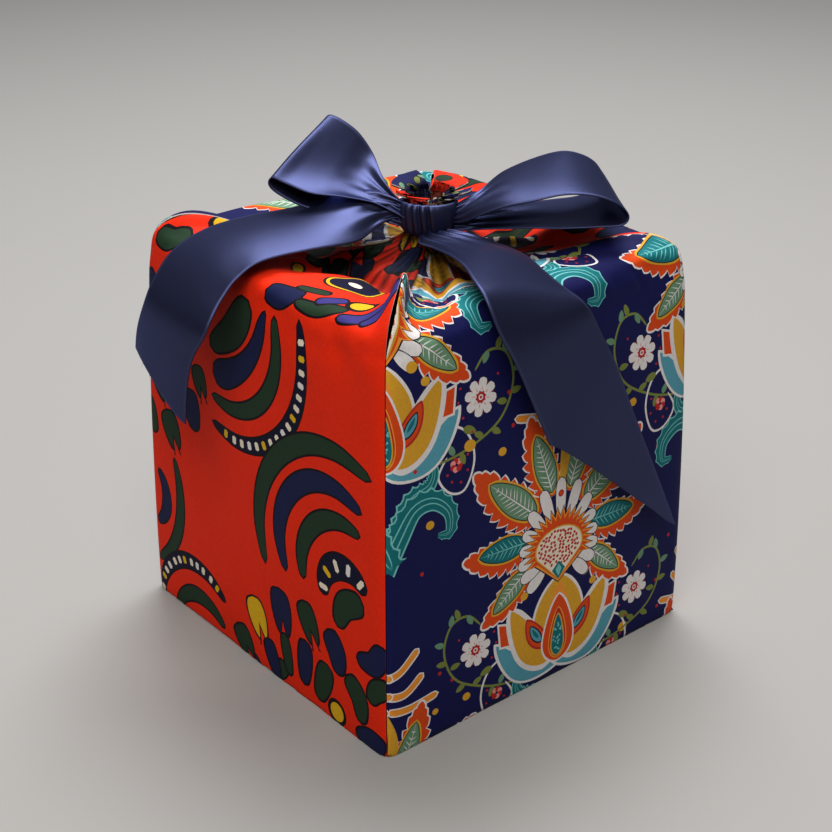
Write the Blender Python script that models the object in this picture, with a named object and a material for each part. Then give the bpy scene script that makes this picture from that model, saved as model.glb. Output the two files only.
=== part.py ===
"""Furoshiki gift wrap: a cloth bag drawn round a box-shaped gift and tied at the neck with a satin ribbon.

Three pieces of printed cotton make the bag: one long navy strip (right side, base, left side) and two vermilion
panels (front and rear). All four sides fold in over the top, meet along the diagonals and gather into a neck,
and their ends stand above it as a tuft. One ribbon goes round the neck and ends in a bow.

Metres, +Z up. The origin is the middle of the base, on the surface that the wrap stands on. The front panel faces
-Y and the navy side of the strip faces +X.
"""

from collections import namedtuple
from math import radians

import bmesh
import bpy
import numpy as np

CLOTH = 0.0015  # thickness of the cotton with its seam allowances
STEEP = 2.2  # most times CLOTH that the sheet measures straight through, where a fold is steep
GAP = 0.0003  # between two pieces that meet
SEAM_NEAR = 0.10  # share of a side, at each end, over which it turns to face the way its corner seam does
SEAM_SHARE = 1.25  # of GAP, along each side's edge, so that bent edges still stand GAP apart across the corner
RIBBON_WIDTH = 0.038
RIBBON = 0.0012  # thickness of the satin ribbon

NECK_SHIFT = np.array((0.004, 0.004))  # the neck stands this far from the middle of the base
BOW_TURN = radians(50)  # the bow's cross axis, turned from +X towards +Y

# Sections of the bag's outer surface, from the floor up: half the width across the flats, height, how square the
# section is (the exponent of a superellipse, 2 is round), how far its middle has moved over to the neck, and how
# much lower the section lies at its corners.
Section = namedtuple("Section", "half height squareness to_neck corner_drop")
HEM = Section(0.0762, 0.0000, 36, 0.00, 0.0)
SECTIONS = (
    HEM,
    Section(0.0770, 0.0040, 36, 0.00, 0.0),
    Section(0.0768, 0.0400, 34, 0.00, 0.0),
    Section(0.0758, 0.0900, 30, 0.00, 0.0),
    Section(0.0742, 0.1350, 26, 0.00, 0.0003),
    Section(0.0735, 0.1480, 24, 0.00, 0.0008),
    Section(0.0725, 0.1545, 22, 0.00, 0.0015),
    Section(0.0702, 0.1585, 20, 0.00, 0.0022),
    Section(0.0660, 0.1602, 18, 0.02, 0.0025),
    Section(0.0600, 0.1603, 16, 0.05, 0.0020),
    Section(0.0520, 0.1590, 13, 0.10, 0.0014),
    Section(0.0440, 0.1568, 10, 0.18, 0.0008),
    Section(0.0365, 0.1548, 8, 0.30, 0.0),
    Section(0.0295, 0.1538, 6, 0.45, 0.0),
    Section(0.0230, 0.1541, 4.5, 0.62, 0.0),
    Section(0.0165, 0.1552, 3.5, 0.80, 0.0),
    Section(0.0115, 0.1575, 2.7, 0.92, 0.0),
    Section(0.0088, 0.1602, 2.2, 0.98, 0.0),
    Section(0.0079, 0.1635, 2.0, 1.00, 0.0),
    Section(0.0079, 0.1752, 2.0, 1.00, 0.0),
    Section(0.0080, 0.1761, 2.0, 1.00, 0.0),
    Section(0.0088, 0.1770, 2.0, 1.00, 0.0),
    Section(0.0106, 0.1777, 2.0, 1.00, 0.0),
    Section(0.0126, 0.1785, 2.0, 1.00, 0.0),
)
CORNER_FALL = 6  # how close to its corners a section drops: a power of the distance from the side's middle
NECK_TOP = 19  # the last section that the ribbon is tied round

# Above the neck the tuft is drawn out along the bow, leans back from it and stands highest at its rear seam.
TUFT_STRETCH = 0.20
TUFT_FLATTEN = 0.42
TUFT_LEAN_REAR = (0.0012, 0.0066)  # along the bow, back from its front
TUFT_LEAN_FRONT = (0.0010, 0.0010)
TUFT_FRONT = 0.3  # height of its front over that of its rear
TUFT_REAR_PLACE = 3.0
TUFT_TWIST = radians(16)  # how far its edge is turned from the neck
TUFT_PARTING = 0.0020  # how far its four leaves' edges draw back from their seams

# Main folds. A place counts panels round the bag: 0 to 1 is the front, 1 to 2 the right side, 2 to 3 the rear and
# 3 to 4 the left side, so a whole number is a corner seam. start and end are section numbers, drift is how far the
# fold's place has moved at its end, and lean pushes a raised fold over sideways.
Fold = namedtuple("Fold", "place spread height start end drift lean")
FOLDS = (
    Fold(1.00, 0.055, 0.0155, 5.8, 12.6, 0.00, 0.20),
    Fold(2.00, 0.065, 0.0045, 5.2, 12.0, 0.00, 0.00),
    Fold(3.00, 0.450, -0.0070, 4.6, 14.4, 0.00, 0.00),
    Fold(3.00, 0.065, 0.0035, 6.4, 13.0, 0.00, 0.00),
    Fold(3.98, 0.070, 0.0075, 5.2, 12.4, 0.01, 0.00),
    Fold(0.24, 0.055, 0.0030, 8.5, 17.0, 0.08, 0.00),
    Fold(0.46, 0.060, -0.0034, 8.0, 16.0, 0.02, 0.00),
    Fold(0.70, 0.050, 0.0026, 9.0, 17.0, -0.04, 0.00),
    Fold(0.84, 0.045, -0.0024, 8.5, 15.0, -0.02, 0.00),
    Fold(1.17, 0.040, -0.0030, 7.5, 15.5, 0.06, 0.00),
    Fold(1.30, 0.045, 0.0030, 8.5, 17.0, 0.05, 0.00),
    Fold(1.47, 0.050, -0.0026, 8.5, 16.0, 0.02, 0.00),
    Fold(1.68, 0.055, 0.0028, 8.8, 17.0, -0.05, 0.00),
    Fold(1.88, 0.040, -0.0022, 8.0, 15.0, -0.03, 0.00),
    Fold(2.22, 0.055, 0.0030, 8.5, 17.0, 0.06, 0.00),
    Fold(2.45, 0.060, -0.0032, 8.0, 16.0, 0.02, 0.00),
    Fold(2.72, 0.050, 0.0030, 8.8, 17.0, -0.05, 0.00),
    Fold(3.20, 0.055, -0.0028, 8.5, 16.0, 0.05, 0.00),
    Fold(3.42, 0.050, 0.0032, 8.5, 17.0, 0.03, 0.00),
    Fold(3.68, 0.060, -0.0030, 8.0, 16.0, -0.04, 0.00),
    Fold(0.86, 0.050, -0.0012, 3.6, 6.8, -0.05, 0.00),
    Fold(1.90, 0.050, -0.0016, 4.2, 7.2, -0.04, 0.00),
    Fold(0.50, 0.300, 0.0009, 1.0, 6.0, 0.00, 0.00),
    Fold(1.50, 0.300, 0.0009, 1.0, 6.0, 0.00, 0.00),
    Fold(2.50, 0.300, 0.0009, 1.0, 6.0, 0.00, 0.00),
    Fold(3.50, 0.300, 0.0009, 1.0, 6.0, 0.00, 0.00),
)
PANEL_COLUMNS = (
    0.0, 0.03, 0.07, 0.12, 0.18, 0.25, 0.33, 0.41, 0.5, 0.59, 0.67, 0.75, 0.82, 0.88, 0.93, 0.97, 1.0,
)  # fmt: skip
PLACE_STEP = 0.02  # how far each way the cloth's direction is felt for, round the bag and up it
LEVEL_STEP = 0.05
BASE_INSET = 0.0018  # the base lies this far inside the hem
BASE_ROWS = (0.97, 0.90, 0.0, -0.90, -0.97)  # shares of the half width

# The ribbon. A row is one section across the satin: its middle, how much of the ribbon's width is spread out there,
# the heading of its width direction in plan (degrees), how much that direction climbs (degrees), and how far the
# middle bulges off the line between the edges, towards the cross product of the ribbon's run and its width direction.
Strip = namedtuple("Strip", "x y z spread heading climb bulge")
RIGHT_LOOP = (  # along the bow, back from its front, up
    Strip(0.0135, -0.0066, 0.1700, 0.16, 90, 60, 0.0000),
    Strip(0.0180, -0.0068, 0.1714, 0.24, 90, 35, 0.0004),
    Strip(0.0240, -0.0058, 0.1740, 0.42, 88, 14, 0.0014),
    Strip(0.0330, -0.0015, 0.1780, 0.82, 86, 7, 0.0022),
    Strip(0.0440, 0.0000, 0.1812, 1.00, 86, 6, 0.0018),
    Strip(0.0550, 0.0000, 0.1838, 1.00, 88, 7, 0.0010),
    Strip(0.0640, 0.0000, 0.1830, 1.00, 93, 6, 0.0004),
    Strip(0.0710, 0.0000, 0.1798, 1.00, 97, 5, 0.0000),
    Strip(0.0745, 0.0010, 0.1748, 1.00, 99, 4, 0.0000),
    Strip(0.0728, 0.0010, 0.1705, 1.00, 98, 2, 0.0000),
    Strip(0.0650, 0.0010, 0.1686, 1.00, 96, -1, 0.0000),
    Strip(0.0550, 0.0010, 0.1677, 0.97, 92, -2, 0.0006),
    Strip(0.0410, 0.0000, 0.1672, 0.74, 90, 0, 0.0010),
    Strip(0.0270, -0.0030, 0.1668, 0.42, 90, 10, 0.0006),
    Strip(0.0190, -0.0055, 0.1668, 0.24, 90, 30, 0.0000),
    Strip(0.0135, -0.0062, 0.1670, 0.16, 90, 50, 0.0000),
)
LEFT_LOOP = (
    Strip(-0.0020, -0.0066, 0.1705, 0.16, 90, 60, 0.0000),
    Strip(-0.0070, -0.0060, 0.1725, 0.21, 85, 40, 0.0004),
    Strip(-0.0130, -0.0022, 0.1762, 0.42, 78, 22, 0.0014),
    Strip(-0.0205, 0.0050, 0.1805, 0.79, 70, 18, 0.0024),
    Strip(-0.0290, 0.0085, 0.1850, 0.97, 61, 23, 0.0022),
    Strip(-0.0370, 0.0105, 0.1888, 1.00, 56, 25, 0.0012),
    Strip(-0.0420, 0.0120, 0.1903, 1.00, 55, 24, 0.0000),
    Strip(-0.0432, 0.0130, 0.1870, 1.00, 55, 24, 0.0000),
    Strip(-0.0395, 0.0130, 0.1832, 1.00, 56, 24, -0.0006),
    Strip(-0.0315, 0.0120, 0.1780, 0.95, 60, 22, -0.0014),
    Strip(-0.0215, 0.0070, 0.1730, 0.68, 70, 16, -0.0014),
    Strip(-0.0110, -0.0010, 0.1700, 0.34, 80, 20, -0.0006),
    Strip(-0.0065, -0.0045, 0.1690, 0.21, 85, 40, 0.0000),
    Strip(-0.0022, -0.0062, 0.1680, 0.16, 90, 60, 0.0000),
)
LEFT_TAIL = (  # in the bag's own axes; it lies over the front edge and hangs before the front panel
    Strip(0.0011, -0.0054, 0.1708, 0.16, 140, 75, 0.0000),
    Strip(-0.0034, -0.0088, 0.1698, 0.26, 145, 50, -0.0006),
    Strip(-0.0070, -0.0130, 0.1685, 0.53, 147, 24, -0.0014),
    Strip(-0.0090, -0.0225, 0.1678, 0.84, 148, 11, -0.0024),
    Strip(-0.0138, -0.0400, 0.1680, 1.00, 149, 6, -0.0024),
    Strip(-0.0180, -0.0590, 0.1672, 1.00, 151, 6, -0.0018),
    Strip(-0.0195, -0.0730, 0.1642, 1.00, 163, 9, -0.0014),
    Strip(-0.0190, -0.0835, 0.1592, 1.00, 174, 10, -0.0012),
    Strip(-0.0175, -0.0910, 0.1525, 1.00, 178, 7, -0.0012),
    Strip(-0.0185, -0.0945, 0.1450, 1.00, 180, 3, -0.0012),
    Strip(-0.0255, -0.0950, 0.1330, 0.97, 180, 0, -0.0014),
    Strip(-0.0295, -0.0950, 0.1195, 0.92, 180, 0, -0.0016),
    Strip(-0.0315, -0.0950, 0.1055, 0.89, 180, 0, -0.0016),
)
RIGHT_TAIL = (  # over the right edge, hanging before the right side
    Strip(0.0116, -0.0024, 0.1655, 0.21, 85, 20, 0.0000),
    Strip(0.0155, -0.0036, 0.1645, 0.34, 85, 11, 0.0004),
    Strip(0.0240, -0.0015, 0.1642, 0.45, 86, 5, 0.0010),
    Strip(0.0350, -0.0012, 0.1642, 0.66, 94, -5, 0.0018),
    Strip(0.0500, -0.0048, 0.1652, 0.92, 98, -10, 0.0022),
    Strip(0.0650, -0.0112, 0.1652, 1.00, 95, -11, 0.0014),
    Strip(0.0755, -0.0140, 0.1630, 1.00, 92, -8, 0.0010),
    Strip(0.0815, -0.0125, 0.1565, 1.00, 90, 3, 0.0008),
    Strip(0.0838, -0.0080, 0.1480, 0.97, 90, 14, 0.0008),
    Strip(0.0840, -0.0020, 0.1365, 0.97, 90, 22, 0.0010),
    Strip(0.0840, 0.0045, 0.1245, 0.99, 90, 27, 0.0012),
    Strip(0.0840, 0.0105, 0.1125, 1.00, 90, 28, 0.0012),
    Strip(0.0838, 0.0190, 0.0955, 1.00, 90, 27, 0.0012),
    Strip(0.0838, 0.0285, 0.0765, 1.00, 91, 27, 0.0010),
    Strip(0.0840, 0.0380, 0.0575, 1.00, 92, 27, 0.0006),
    Strip(0.0842, 0.0470, 0.0395, 1.00, 93, 27, 0.0000),
)
LEFT_TAIL_SKEW = -0.020  # how much further the cut end reaches on the side that the width direction points to
RIGHT_TAIL_SKEW = 0.086
SLANT_REACH = 1.25  # a slanted end's rows close up over this many times the slant
LOOP_STEPS = 2  # rows of faces between two sections
TAIL_STEPS = 2
RIBBON_COLUMNS = 7

# The turn round the neck, thickened before it into the knot: inner and outer radius, bottom and top at its rear
# and at its front.
Turn = namedtuple("Turn", "inner outer bottom top")
TURN_REAR = Turn(0.0086, 0.0100, 0.1660, 0.1735)
TURN_FRONT = Turn(0.0087, 0.0124, 0.1622, 0.1750)
TURN_SIDES = 40
TURN_ROUND = (0.0, 0.35, 0.75, 1.0, 1.0, 0.75, 0.35, 0.0)  # how far out its points stand, from the bottom up
TURN_RISE = (0.03, 0.0, 0.12, 0.32, 0.68, 0.88, 1.0, 0.97)
KNOT_NARROWING = 1.5  # power of the fading from its front to its rear
KNOT_PLEATS = 17  # ridges in a full turn; they show on the left of the front
KNOT_PLEAT_DEPTH = 0.0006

FRONT, RIGHT, REAR, LEFT = range(4)
PANELS = {"red_panel_front": FRONT, "red_panel_rear": REAR}
SHARP_ANGLE = radians(40)
VERMILION = (0.62, 0.045, 0.02)
NAVY = (0.03, 0.035, 0.16)
SATIN = (0.035, 0.04, 0.13)


def clear_scene():
    for thing in list(bpy.data.objects):
        bpy.data.objects.remove(thing, do_unlink=True)


def material(name, colour, roughness):
    made = bpy.data.materials.new(name)
    made.use_nodes = True
    shader = made.node_tree.nodes["Principled BSDF"]
    shader.inputs["Base Color"].default_value = (*colour, 1.0)
    shader.inputs["Roughness"].default_value = roughness
    shader.inputs["Metallic"].default_value = 0.0
    return made


def smooth(table, place):
    """A row of the table between its rows, read from a smooth curve (Catmull-Rom) through them."""
    rows = np.array(table, float)
    first = int(np.clip(np.floor(place), 0, len(rows) - 2))
    share = place - first
    before, here, there, after = (rows[np.clip(first + step, 0, len(rows) - 1)] for step in (-1, 0, 1, 2))
    slope_here = (there - before) / 2
    slope_there = (after - here) / 2
    square, cube = share**2, share**3
    return (
        (2 * cube - 3 * square + 1) * here
        + (cube - 2 * square + share) * slope_here
        + (3 * square - 2 * cube) * there
        + (cube - square) * slope_there
    )


def turned(point, angle):
    """A point or direction in plan, turned about +Z."""
    cos, sin = np.cos(angle), np.sin(angle)
    return np.array((point[0] * cos - point[1] * sin, point[0] * sin + point[1] * cos))


def height_above_neck(level):
    """0 up to the neck's top, 1 at the tuft's edge."""
    return max(0.0, level - NECK_TOP) / (len(SECTIONS) - 1 - NECK_TOP)


def bare_point(place, level):
    """The bag's outer surface with no folds in it, at a place round the bag and a section number."""
    section = Section(*smooth(SECTIONS, level))
    panel = int(np.floor(place))
    across = 2 * (place - panel) - 1
    direction = np.array((across, -1.0)) / np.hypot(across, 1.0)
    reach = section.half / (np.abs(direction) ** section.squareness).sum() ** (1 / section.squareness)
    plan = turned(direction * reach, radians(90) * panel)
    height = section.height - section.corner_drop * abs(across) ** CORNER_FALL
    above_neck = height_above_neck(level)
    if above_neck > 0:
        rear = (1 + np.cos(radians(90) * (place - TUFT_REAR_PLACE))) / 2
        drawn = turned(plan, TUFT_TWIST * above_neck**2 - BOW_TURN)
        drawn = drawn * (1 + TUFT_STRETCH * above_neck, 1 - TUFT_FLATTEN * above_neck)
        lean = TUFT_LEAN_FRONT + (np.array(TUFT_LEAN_REAR) - TUFT_LEAN_FRONT) * rear
        plan = turned(drawn + lean * above_neck**2, BOW_TURN)
        neck_height = SECTIONS[NECK_TOP].height
        height = neck_height + (height - neck_height) * (TUFT_FRONT + (1 - TUFT_FRONT) * rear)
    plan = plan + NECK_SHIFT * section.to_neck
    return np.array((plan[0], plan[1], height))


def bare_surface(place, level):
    return bare_point(place % 4, level)


def ways(surface, place, level):
    """The outward and the sideways direction of a surface given as a function of place and level."""
    past_seam = place - round(place)
    place = round(place) + past_seam * min(abs(past_seam) / SEAM_NEAR, 1.0) ** 2
    low, high = max(level - LEVEL_STEP, 0.0), min(level + LEVEL_STEP, len(SECTIONS) - 1.0)
    sideways = surface(place + PLACE_STEP, level) - surface(place - PLACE_STEP, level)
    outward = np.cross(sideways, surface(place, high) - surface(place, low))
    return outward / np.linalg.norm(outward), sideways / np.linalg.norm(sideways)


def fold_rise(fold, place, level):
    """How far one fold lifts the cloth off its bare surface here."""
    if not fold.start < level < fold.end:
        return 0.0
    along = (level - fold.start) / (fold.end - fold.start)
    away = (place - fold.place - fold.drift * along + 2) % 4 - 2
    return fold.height * np.sin(np.pi * along) ** 2 * np.exp(-((away / fold.spread) ** 2))


def bag_point(place, level):
    """The bag's outer surface with its main folds."""
    rises = [(fold_rise(fold, place, level), fold.lean) for fold in FOLDS]
    rise = sum(height for height, _ in rises)
    push = sum(height * lean for height, lean in rises)
    outward, sideways = ways(bare_surface, place, level)
    return bare_surface(place, level) + rise * outward + push * sideways


def through_cloth(place, level):
    """The way from the bag's outer surface to its inner one. A fold's sides are kept from crossing each other."""
    straight, _ = ways(bare_surface, place, level)
    if level == 0:
        straight = np.array((*straight[:2], 0.0)) / np.hypot(*straight[:2])
    steepness = max(ways(bag_point, place, level)[0] @ straight, 1 / STEEP)
    return straight * -CLOTH / steepness


def seam_inset(half, above_neck=0.0):
    """How far a side of the bag stops short of its corner seams, as a share of the side."""
    return (SEAM_SHARE * GAP + TUFT_PARTING * above_neck) / half


def panel_rows(panel):
    """Outer and inner points of one side of the bag, a row for each section. Its edges stop short of the seams."""
    outer, inner = [], []
    for level in range(len(SECTIONS)):
        seam = seam_inset(SECTIONS[level].half, height_above_neck(level))
        places = [panel + seam + (1 - 2 * seam) * column for column in PANEL_COLUMNS]
        outer.append([bag_point(place, level) for place in places])
        inner.append([bag_point(place, level) + through_cloth(place, level) for place in places])
    return outer, inner


def base_rows():
    """Outer and inner points of the base, from the right hem to the left one."""
    half = HEM.half - BASE_INSET
    seam = seam_inset(half)

    def side(panel):
        row = []
        for column in PANEL_COLUMNS:
            place = seam + (1 - 2 * seam) * column
            x, y, _ = bare_point(place, 0) * (half / HEM.half)
            row.append(np.array((*turned((x, y), radians(90) * panel), 0.0)))
        return row

    outer = [side(RIGHT)]
    for share in BASE_ROWS:
        reach = half * (1 - abs(share) ** HEM.squareness) ** (1 / HEM.squareness) - GAP / 2
        outer.append([np.array((share * half, reach * (2 * column - 1), 0.0)) for column in PANEL_COLUMNS])
    outer.append(side(LEFT)[::-1])
    inner = [[point + (0.0, 0.0, CLOTH) for point in row] for row in outer]
    return outer, inner


def sheet_mesh(name, outer, inner, finish):
    """One closed solid between two grids of points, with a rim all round."""
    rows, columns = len(outer), len(outer[0])
    points = [tuple(point) for grid in (outer, inner) for row in grid for point in row]
    below = rows * columns

    def at(row, column):
        return row * columns + column

    faces = []
    for row in range(rows - 1):
        for column in range(columns - 1):
            corners = (at(row, column), at(row, column + 1), at(row + 1, column + 1), at(row + 1, column))
            faces.append(corners)
            faces.append(tuple(corner + below for corner in reversed(corners)))
    for row in range(rows - 1):
        for column in (0, columns - 1):
            faces.append((at(row, column), at(row + 1, column), at(row + 1, column) + below, at(row, column) + below))
    for column in range(columns - 1):
        for row in (0, rows - 1):
            faces.append((at(row, column), at(row, column + 1), at(row, column + 1) + below, at(row, column) + below))
    mesh = bpy.data.meshes.new(name)
    mesh.from_pydata(points, [], faces)
    outward(mesh)
    mesh.shade_smooth()
    mesh.set_sharp_from_angle(angle=SHARP_ANGLE)
    return placed(name, mesh, finish)


def outward(mesh):
    work = bmesh.new()
    work.from_mesh(mesh)
    bmesh.ops.recalc_face_normals(work, faces=work.faces)
    if work.calc_volume(signed=True) < 0:
        bmesh.ops.reverse_faces(work, faces=work.faces)
    work.to_mesh(mesh)
    work.free()


def placed(name, mesh, finish):
    piece = bpy.data.objects.new(name, mesh)
    bpy.context.scene.collection.objects.link(piece)
    if finish is not None:
        mesh.materials.append(finish)
    return piece


def navy_strip(finish):
    right_outer, right_inner = panel_rows(RIGHT)
    left_outer, left_inner = panel_rows(LEFT)
    base_outer, base_inner = base_rows()
    # At the hem the strip turns under, so its inner side there lies up and in from the fold.
    for rows in (right_inner, left_inner):
        rows[0] = [point + (0.0, 0.0, CLOTH) for point in rows[0]]
    outer = right_outer[::-1] + base_outer + [row[::-1] for row in left_outer]
    inner = right_inner[::-1] + base_inner + [row[::-1] for row in left_inner]
    return sheet_mesh("navy_strip", outer, inner, finish)


def red_panel(name, panel, finish):
    outer, inner = panel_rows(panel)
    return sheet_mesh(name, outer, inner, finish)


def middle_of(row):
    return np.array((row.x, row.y, row.z))


def width_way_of(row):
    """The direction across the ribbon at one of its sections."""
    heading, climb = radians(row.heading), radians(row.climb)
    return np.array((np.cos(climb) * np.cos(heading), np.cos(climb) * np.sin(heading), np.sin(climb)))


def ribbon_point(table, level, share):
    """A point of the ribbon's middle surface, its share of the width from -0.5 to 0.5, and the way off the surface."""
    row = Strip(*smooth(table, level))
    ahead = Strip(*smooth(table, min(level + LEVEL_STEP, len(table) - 1)))
    behind = Strip(*smooth(table, max(level - LEVEL_STEP, 0)))
    width_way = width_way_of(row)
    off = np.cross(middle_of(ahead) - middle_of(behind), width_way)
    off = off / np.linalg.norm(off)
    bulge = row.bulge * (1 - (2 * share) ** 2)
    return middle_of(row) + width_way * RIBBON_WIDTH * row.spread * share + off * bulge, off


def slanted(level, share, last, skew_rows):
    """Where a cut slanted by skew_rows rows brings a level: its short side ends early, the rest closes up."""
    start = last - SLANT_REACH * abs(skew_rows)
    if skew_rows == 0 or level <= start:
        return level
    short = abs(skew_rows) * (0.5 - share if skew_rows > 0 else 0.5 + share)
    return start + (level - start) * (last - short - start) / (last - start)


def ribbon_strip(name, table, steps, turn=0.0, skew=0.0):
    """A stretch of ribbon through the sections of a table. skew slants the cut at its last end."""
    last = len(table) - 1
    skew_rows = skew / np.linalg.norm(middle_of(table[-1]) - middle_of(table[-2]))
    upper, lower = [], []
    for number in range(last * steps + 1):
        upper_row, lower_row = [], []
        for share in np.linspace(-0.5, 0.5, RIBBON_COLUMNS):
            level = slanted(number / steps, share, last, skew_rows)
            place, off = ribbon_point(table, level, share)
            for row, side in ((upper_row, -0.5), (lower_row, 0.5)):
                x, y, z = place + off * RIBBON * side
                row.append(np.array((*turned((x, y), turn), z)))
        upper.append(upper_row)
        lower.append(lower_row)
    return sheet_mesh(name, upper, lower, None)


def neck_turn(finish):
    """The ribbon's turn round the neck, with the knot in its front, as a ring."""
    points, faces = [], []
    count = len(TURN_ROUND)
    front = BOW_TURN - radians(90)
    for step in range(TURN_SIDES):
        angle = 2 * np.pi * step / TURN_SIDES
        share = ((1 + np.cos(angle)) / 2) ** KNOT_NARROWING
        turn = Turn(*(np.array(TURN_REAR) + (np.array(TURN_FRONT) - TURN_REAR) * share))
        pleat = KNOT_PLEAT_DEPTH * share * np.cos(KNOT_PLEATS * angle)
        for out, rise in zip(TURN_ROUND, TURN_RISE):
            radius = turn.inner + (turn.outer - turn.inner) * out + pleat * out
            plan = NECK_SHIFT + turned((radius, 0.0), front + angle)
            points.append((*plan, turn.bottom + (turn.top - turn.bottom) * rise))
    for step in range(TURN_SIDES):
        here, there = step * count, (step + 1) % TURN_SIDES * count
        for number in range(count):
            after = (number + 1) % count
            faces.append((here + number, here + after, there + after, there + number))
    mesh = bpy.data.meshes.new("ribbon_bow")
    mesh.from_pydata(points, [], faces)
    outward(mesh)
    mesh.shade_smooth()
    return placed("ribbon_bow", mesh, finish)


def ribbon_bow(finish):
    """The whole ribbon as one solid: band and knot, two loops and two tails."""
    stretches = [
        ribbon_strip("right_loop", RIGHT_LOOP, LOOP_STEPS, turn=BOW_TURN),
        ribbon_strip("left_loop", LEFT_LOOP, LOOP_STEPS, turn=BOW_TURN),
        ribbon_strip("left_tail", LEFT_TAIL, TAIL_STEPS, skew=LEFT_TAIL_SKEW),
        ribbon_strip("right_tail", RIGHT_TAIL, TAIL_STEPS, skew=RIGHT_TAIL_SKEW),
    ]
    bow = neck_turn(finish)
    for stretch in stretches:
        stretch.hide_render = True
        stretch.display_type = "WIRE"
        join = bow.modifiers.new(stretch.name, "BOOLEAN")
        join.operation = "UNION"
        join.solver = "EXACT"
        join.object = stretch
    return bow


def build():
    clear_scene()
    red_cotton = material("red_print_cotton", VERMILION, 0.75)
    navy_cotton = material("navy_print_cotton", NAVY, 0.75)
    satin = material("navy_satin", SATIN, 0.35)
    navy_strip(navy_cotton)
    for name, panel in PANELS.items():
        red_panel(name, panel, red_cotton)
    ribbon_bow(satin)


build()
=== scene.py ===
"""Looks of the furoshiki gift wrap: printed cotton drawn round a box and tied with a navy satin ribbon.

The cloth and the ribbon follow the same sections and folds as their CAD solids, on a much finer mesh and
with the small wrinkles, gathers and hems added. Each print is laid out flat, in millimetres of cloth, from
strokes, leaves and dots, and is cut into the sheet's own triangles, so that its edges stay crisp. Elsewhere
lengths are in metres where no comment says otherwise, with +Z up.
"""

from collections import namedtuple
from math import radians

import bpy
import numpy as np
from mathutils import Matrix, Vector
from mathutils.geometry import delaunay_2d_cdt


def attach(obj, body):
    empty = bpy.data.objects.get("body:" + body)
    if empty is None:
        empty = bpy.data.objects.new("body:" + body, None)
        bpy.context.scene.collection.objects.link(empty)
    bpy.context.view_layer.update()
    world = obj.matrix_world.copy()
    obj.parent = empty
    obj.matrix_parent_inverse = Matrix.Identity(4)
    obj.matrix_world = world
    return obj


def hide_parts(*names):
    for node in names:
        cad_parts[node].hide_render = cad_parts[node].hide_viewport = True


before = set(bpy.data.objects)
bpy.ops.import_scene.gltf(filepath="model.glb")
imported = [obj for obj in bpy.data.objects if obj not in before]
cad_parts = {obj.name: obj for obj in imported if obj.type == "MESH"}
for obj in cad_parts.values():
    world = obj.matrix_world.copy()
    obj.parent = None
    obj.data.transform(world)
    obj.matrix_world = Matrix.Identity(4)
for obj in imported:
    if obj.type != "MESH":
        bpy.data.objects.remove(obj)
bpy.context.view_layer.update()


def table(columns, rows, *defaults):
    """Rows with named columns. The defaults fill in the last columns where a row leaves them out."""
    row_type = namedtuple("Row", columns, defaults=defaults)
    return [row_type(*row) for row in rows]


MM = 0.001
CLOTH = 0.0010  # thickness of one layer of cotton
SEAM = 0.00024  # how far a sheet stops short of its corner seam
SEAM_NEAR = 0.10  # share of a side, at each end, over which it turns to face as its corner seam does
STEEP = 2.2  # most times CLOTH that the sheet measures straight through, where a fold is steep
RIBBON_WIDTH = 0.038
RIBBON = 0.0005  # thickness of the ribbon
NECK_SHIFT = np.array((0.004, 0.004))  # middle of the neck in plan
BOW_TURN = radians(50)  # heading of the bow's long way
FRONT, RIGHT, REAR, LEFT = range(4)  # sides of the bag, in the order of places round it

# Sections of the bag's outer surface, as in the CAD part: half width, height, exponent of the superellipse,
# how far its middle has moved over to the neck, and how much lower its corners lie.
SECTIONS = table("half height squareness to_neck corner_drop", (
    (0.0762, 0.0000, 36, 0.00),
    (0.0770, 0.0040, 36, 0.00),
    (0.0768, 0.0400, 34, 0.00),
    (0.0758, 0.0900, 30, 0.00),
    (0.0742, 0.1350, 26, 0.00, 0.0003),
    (0.0735, 0.1480, 24, 0.00, 0.0008),
    (0.0725, 0.1545, 22, 0.00, 0.0015),
    (0.0702, 0.1585, 20, 0.00, 0.0022),
    (0.0660, 0.1602, 18, 0.02, 0.0025),
    (0.0600, 0.1603, 16, 0.05, 0.0020),
    (0.0520, 0.1590, 13, 0.10, 0.0014),
    (0.0440, 0.1568, 10, 0.18, 0.0008),
    (0.0365, 0.1548, 8, 0.30),
    (0.0295, 0.1538, 6, 0.45),
    (0.0230, 0.1541, 4.5, 0.62),
    (0.0165, 0.1552, 3.5, 0.80),
    (0.0115, 0.1575, 2.7, 0.92),
    (0.0088, 0.1602, 2.2, 0.98),
    (0.0079, 0.1635, 2.0, 1.00),
    (0.0079, 0.1752, 2.0, 1.00),
    (0.0080, 0.1761, 2.0, 1.00),
    (0.0088, 0.1770, 2.0, 1.00),
    (0.0106, 0.1777, 2.0, 1.00),
    (0.0126, 0.1785, 2.0, 1.00),
), 0.0)
CORNER_FALL = 6  # power by which a section falls towards its corners
NECK_TOP = 19  # section at which the tuft begins
TOP = len(SECTIONS) - 1

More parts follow.
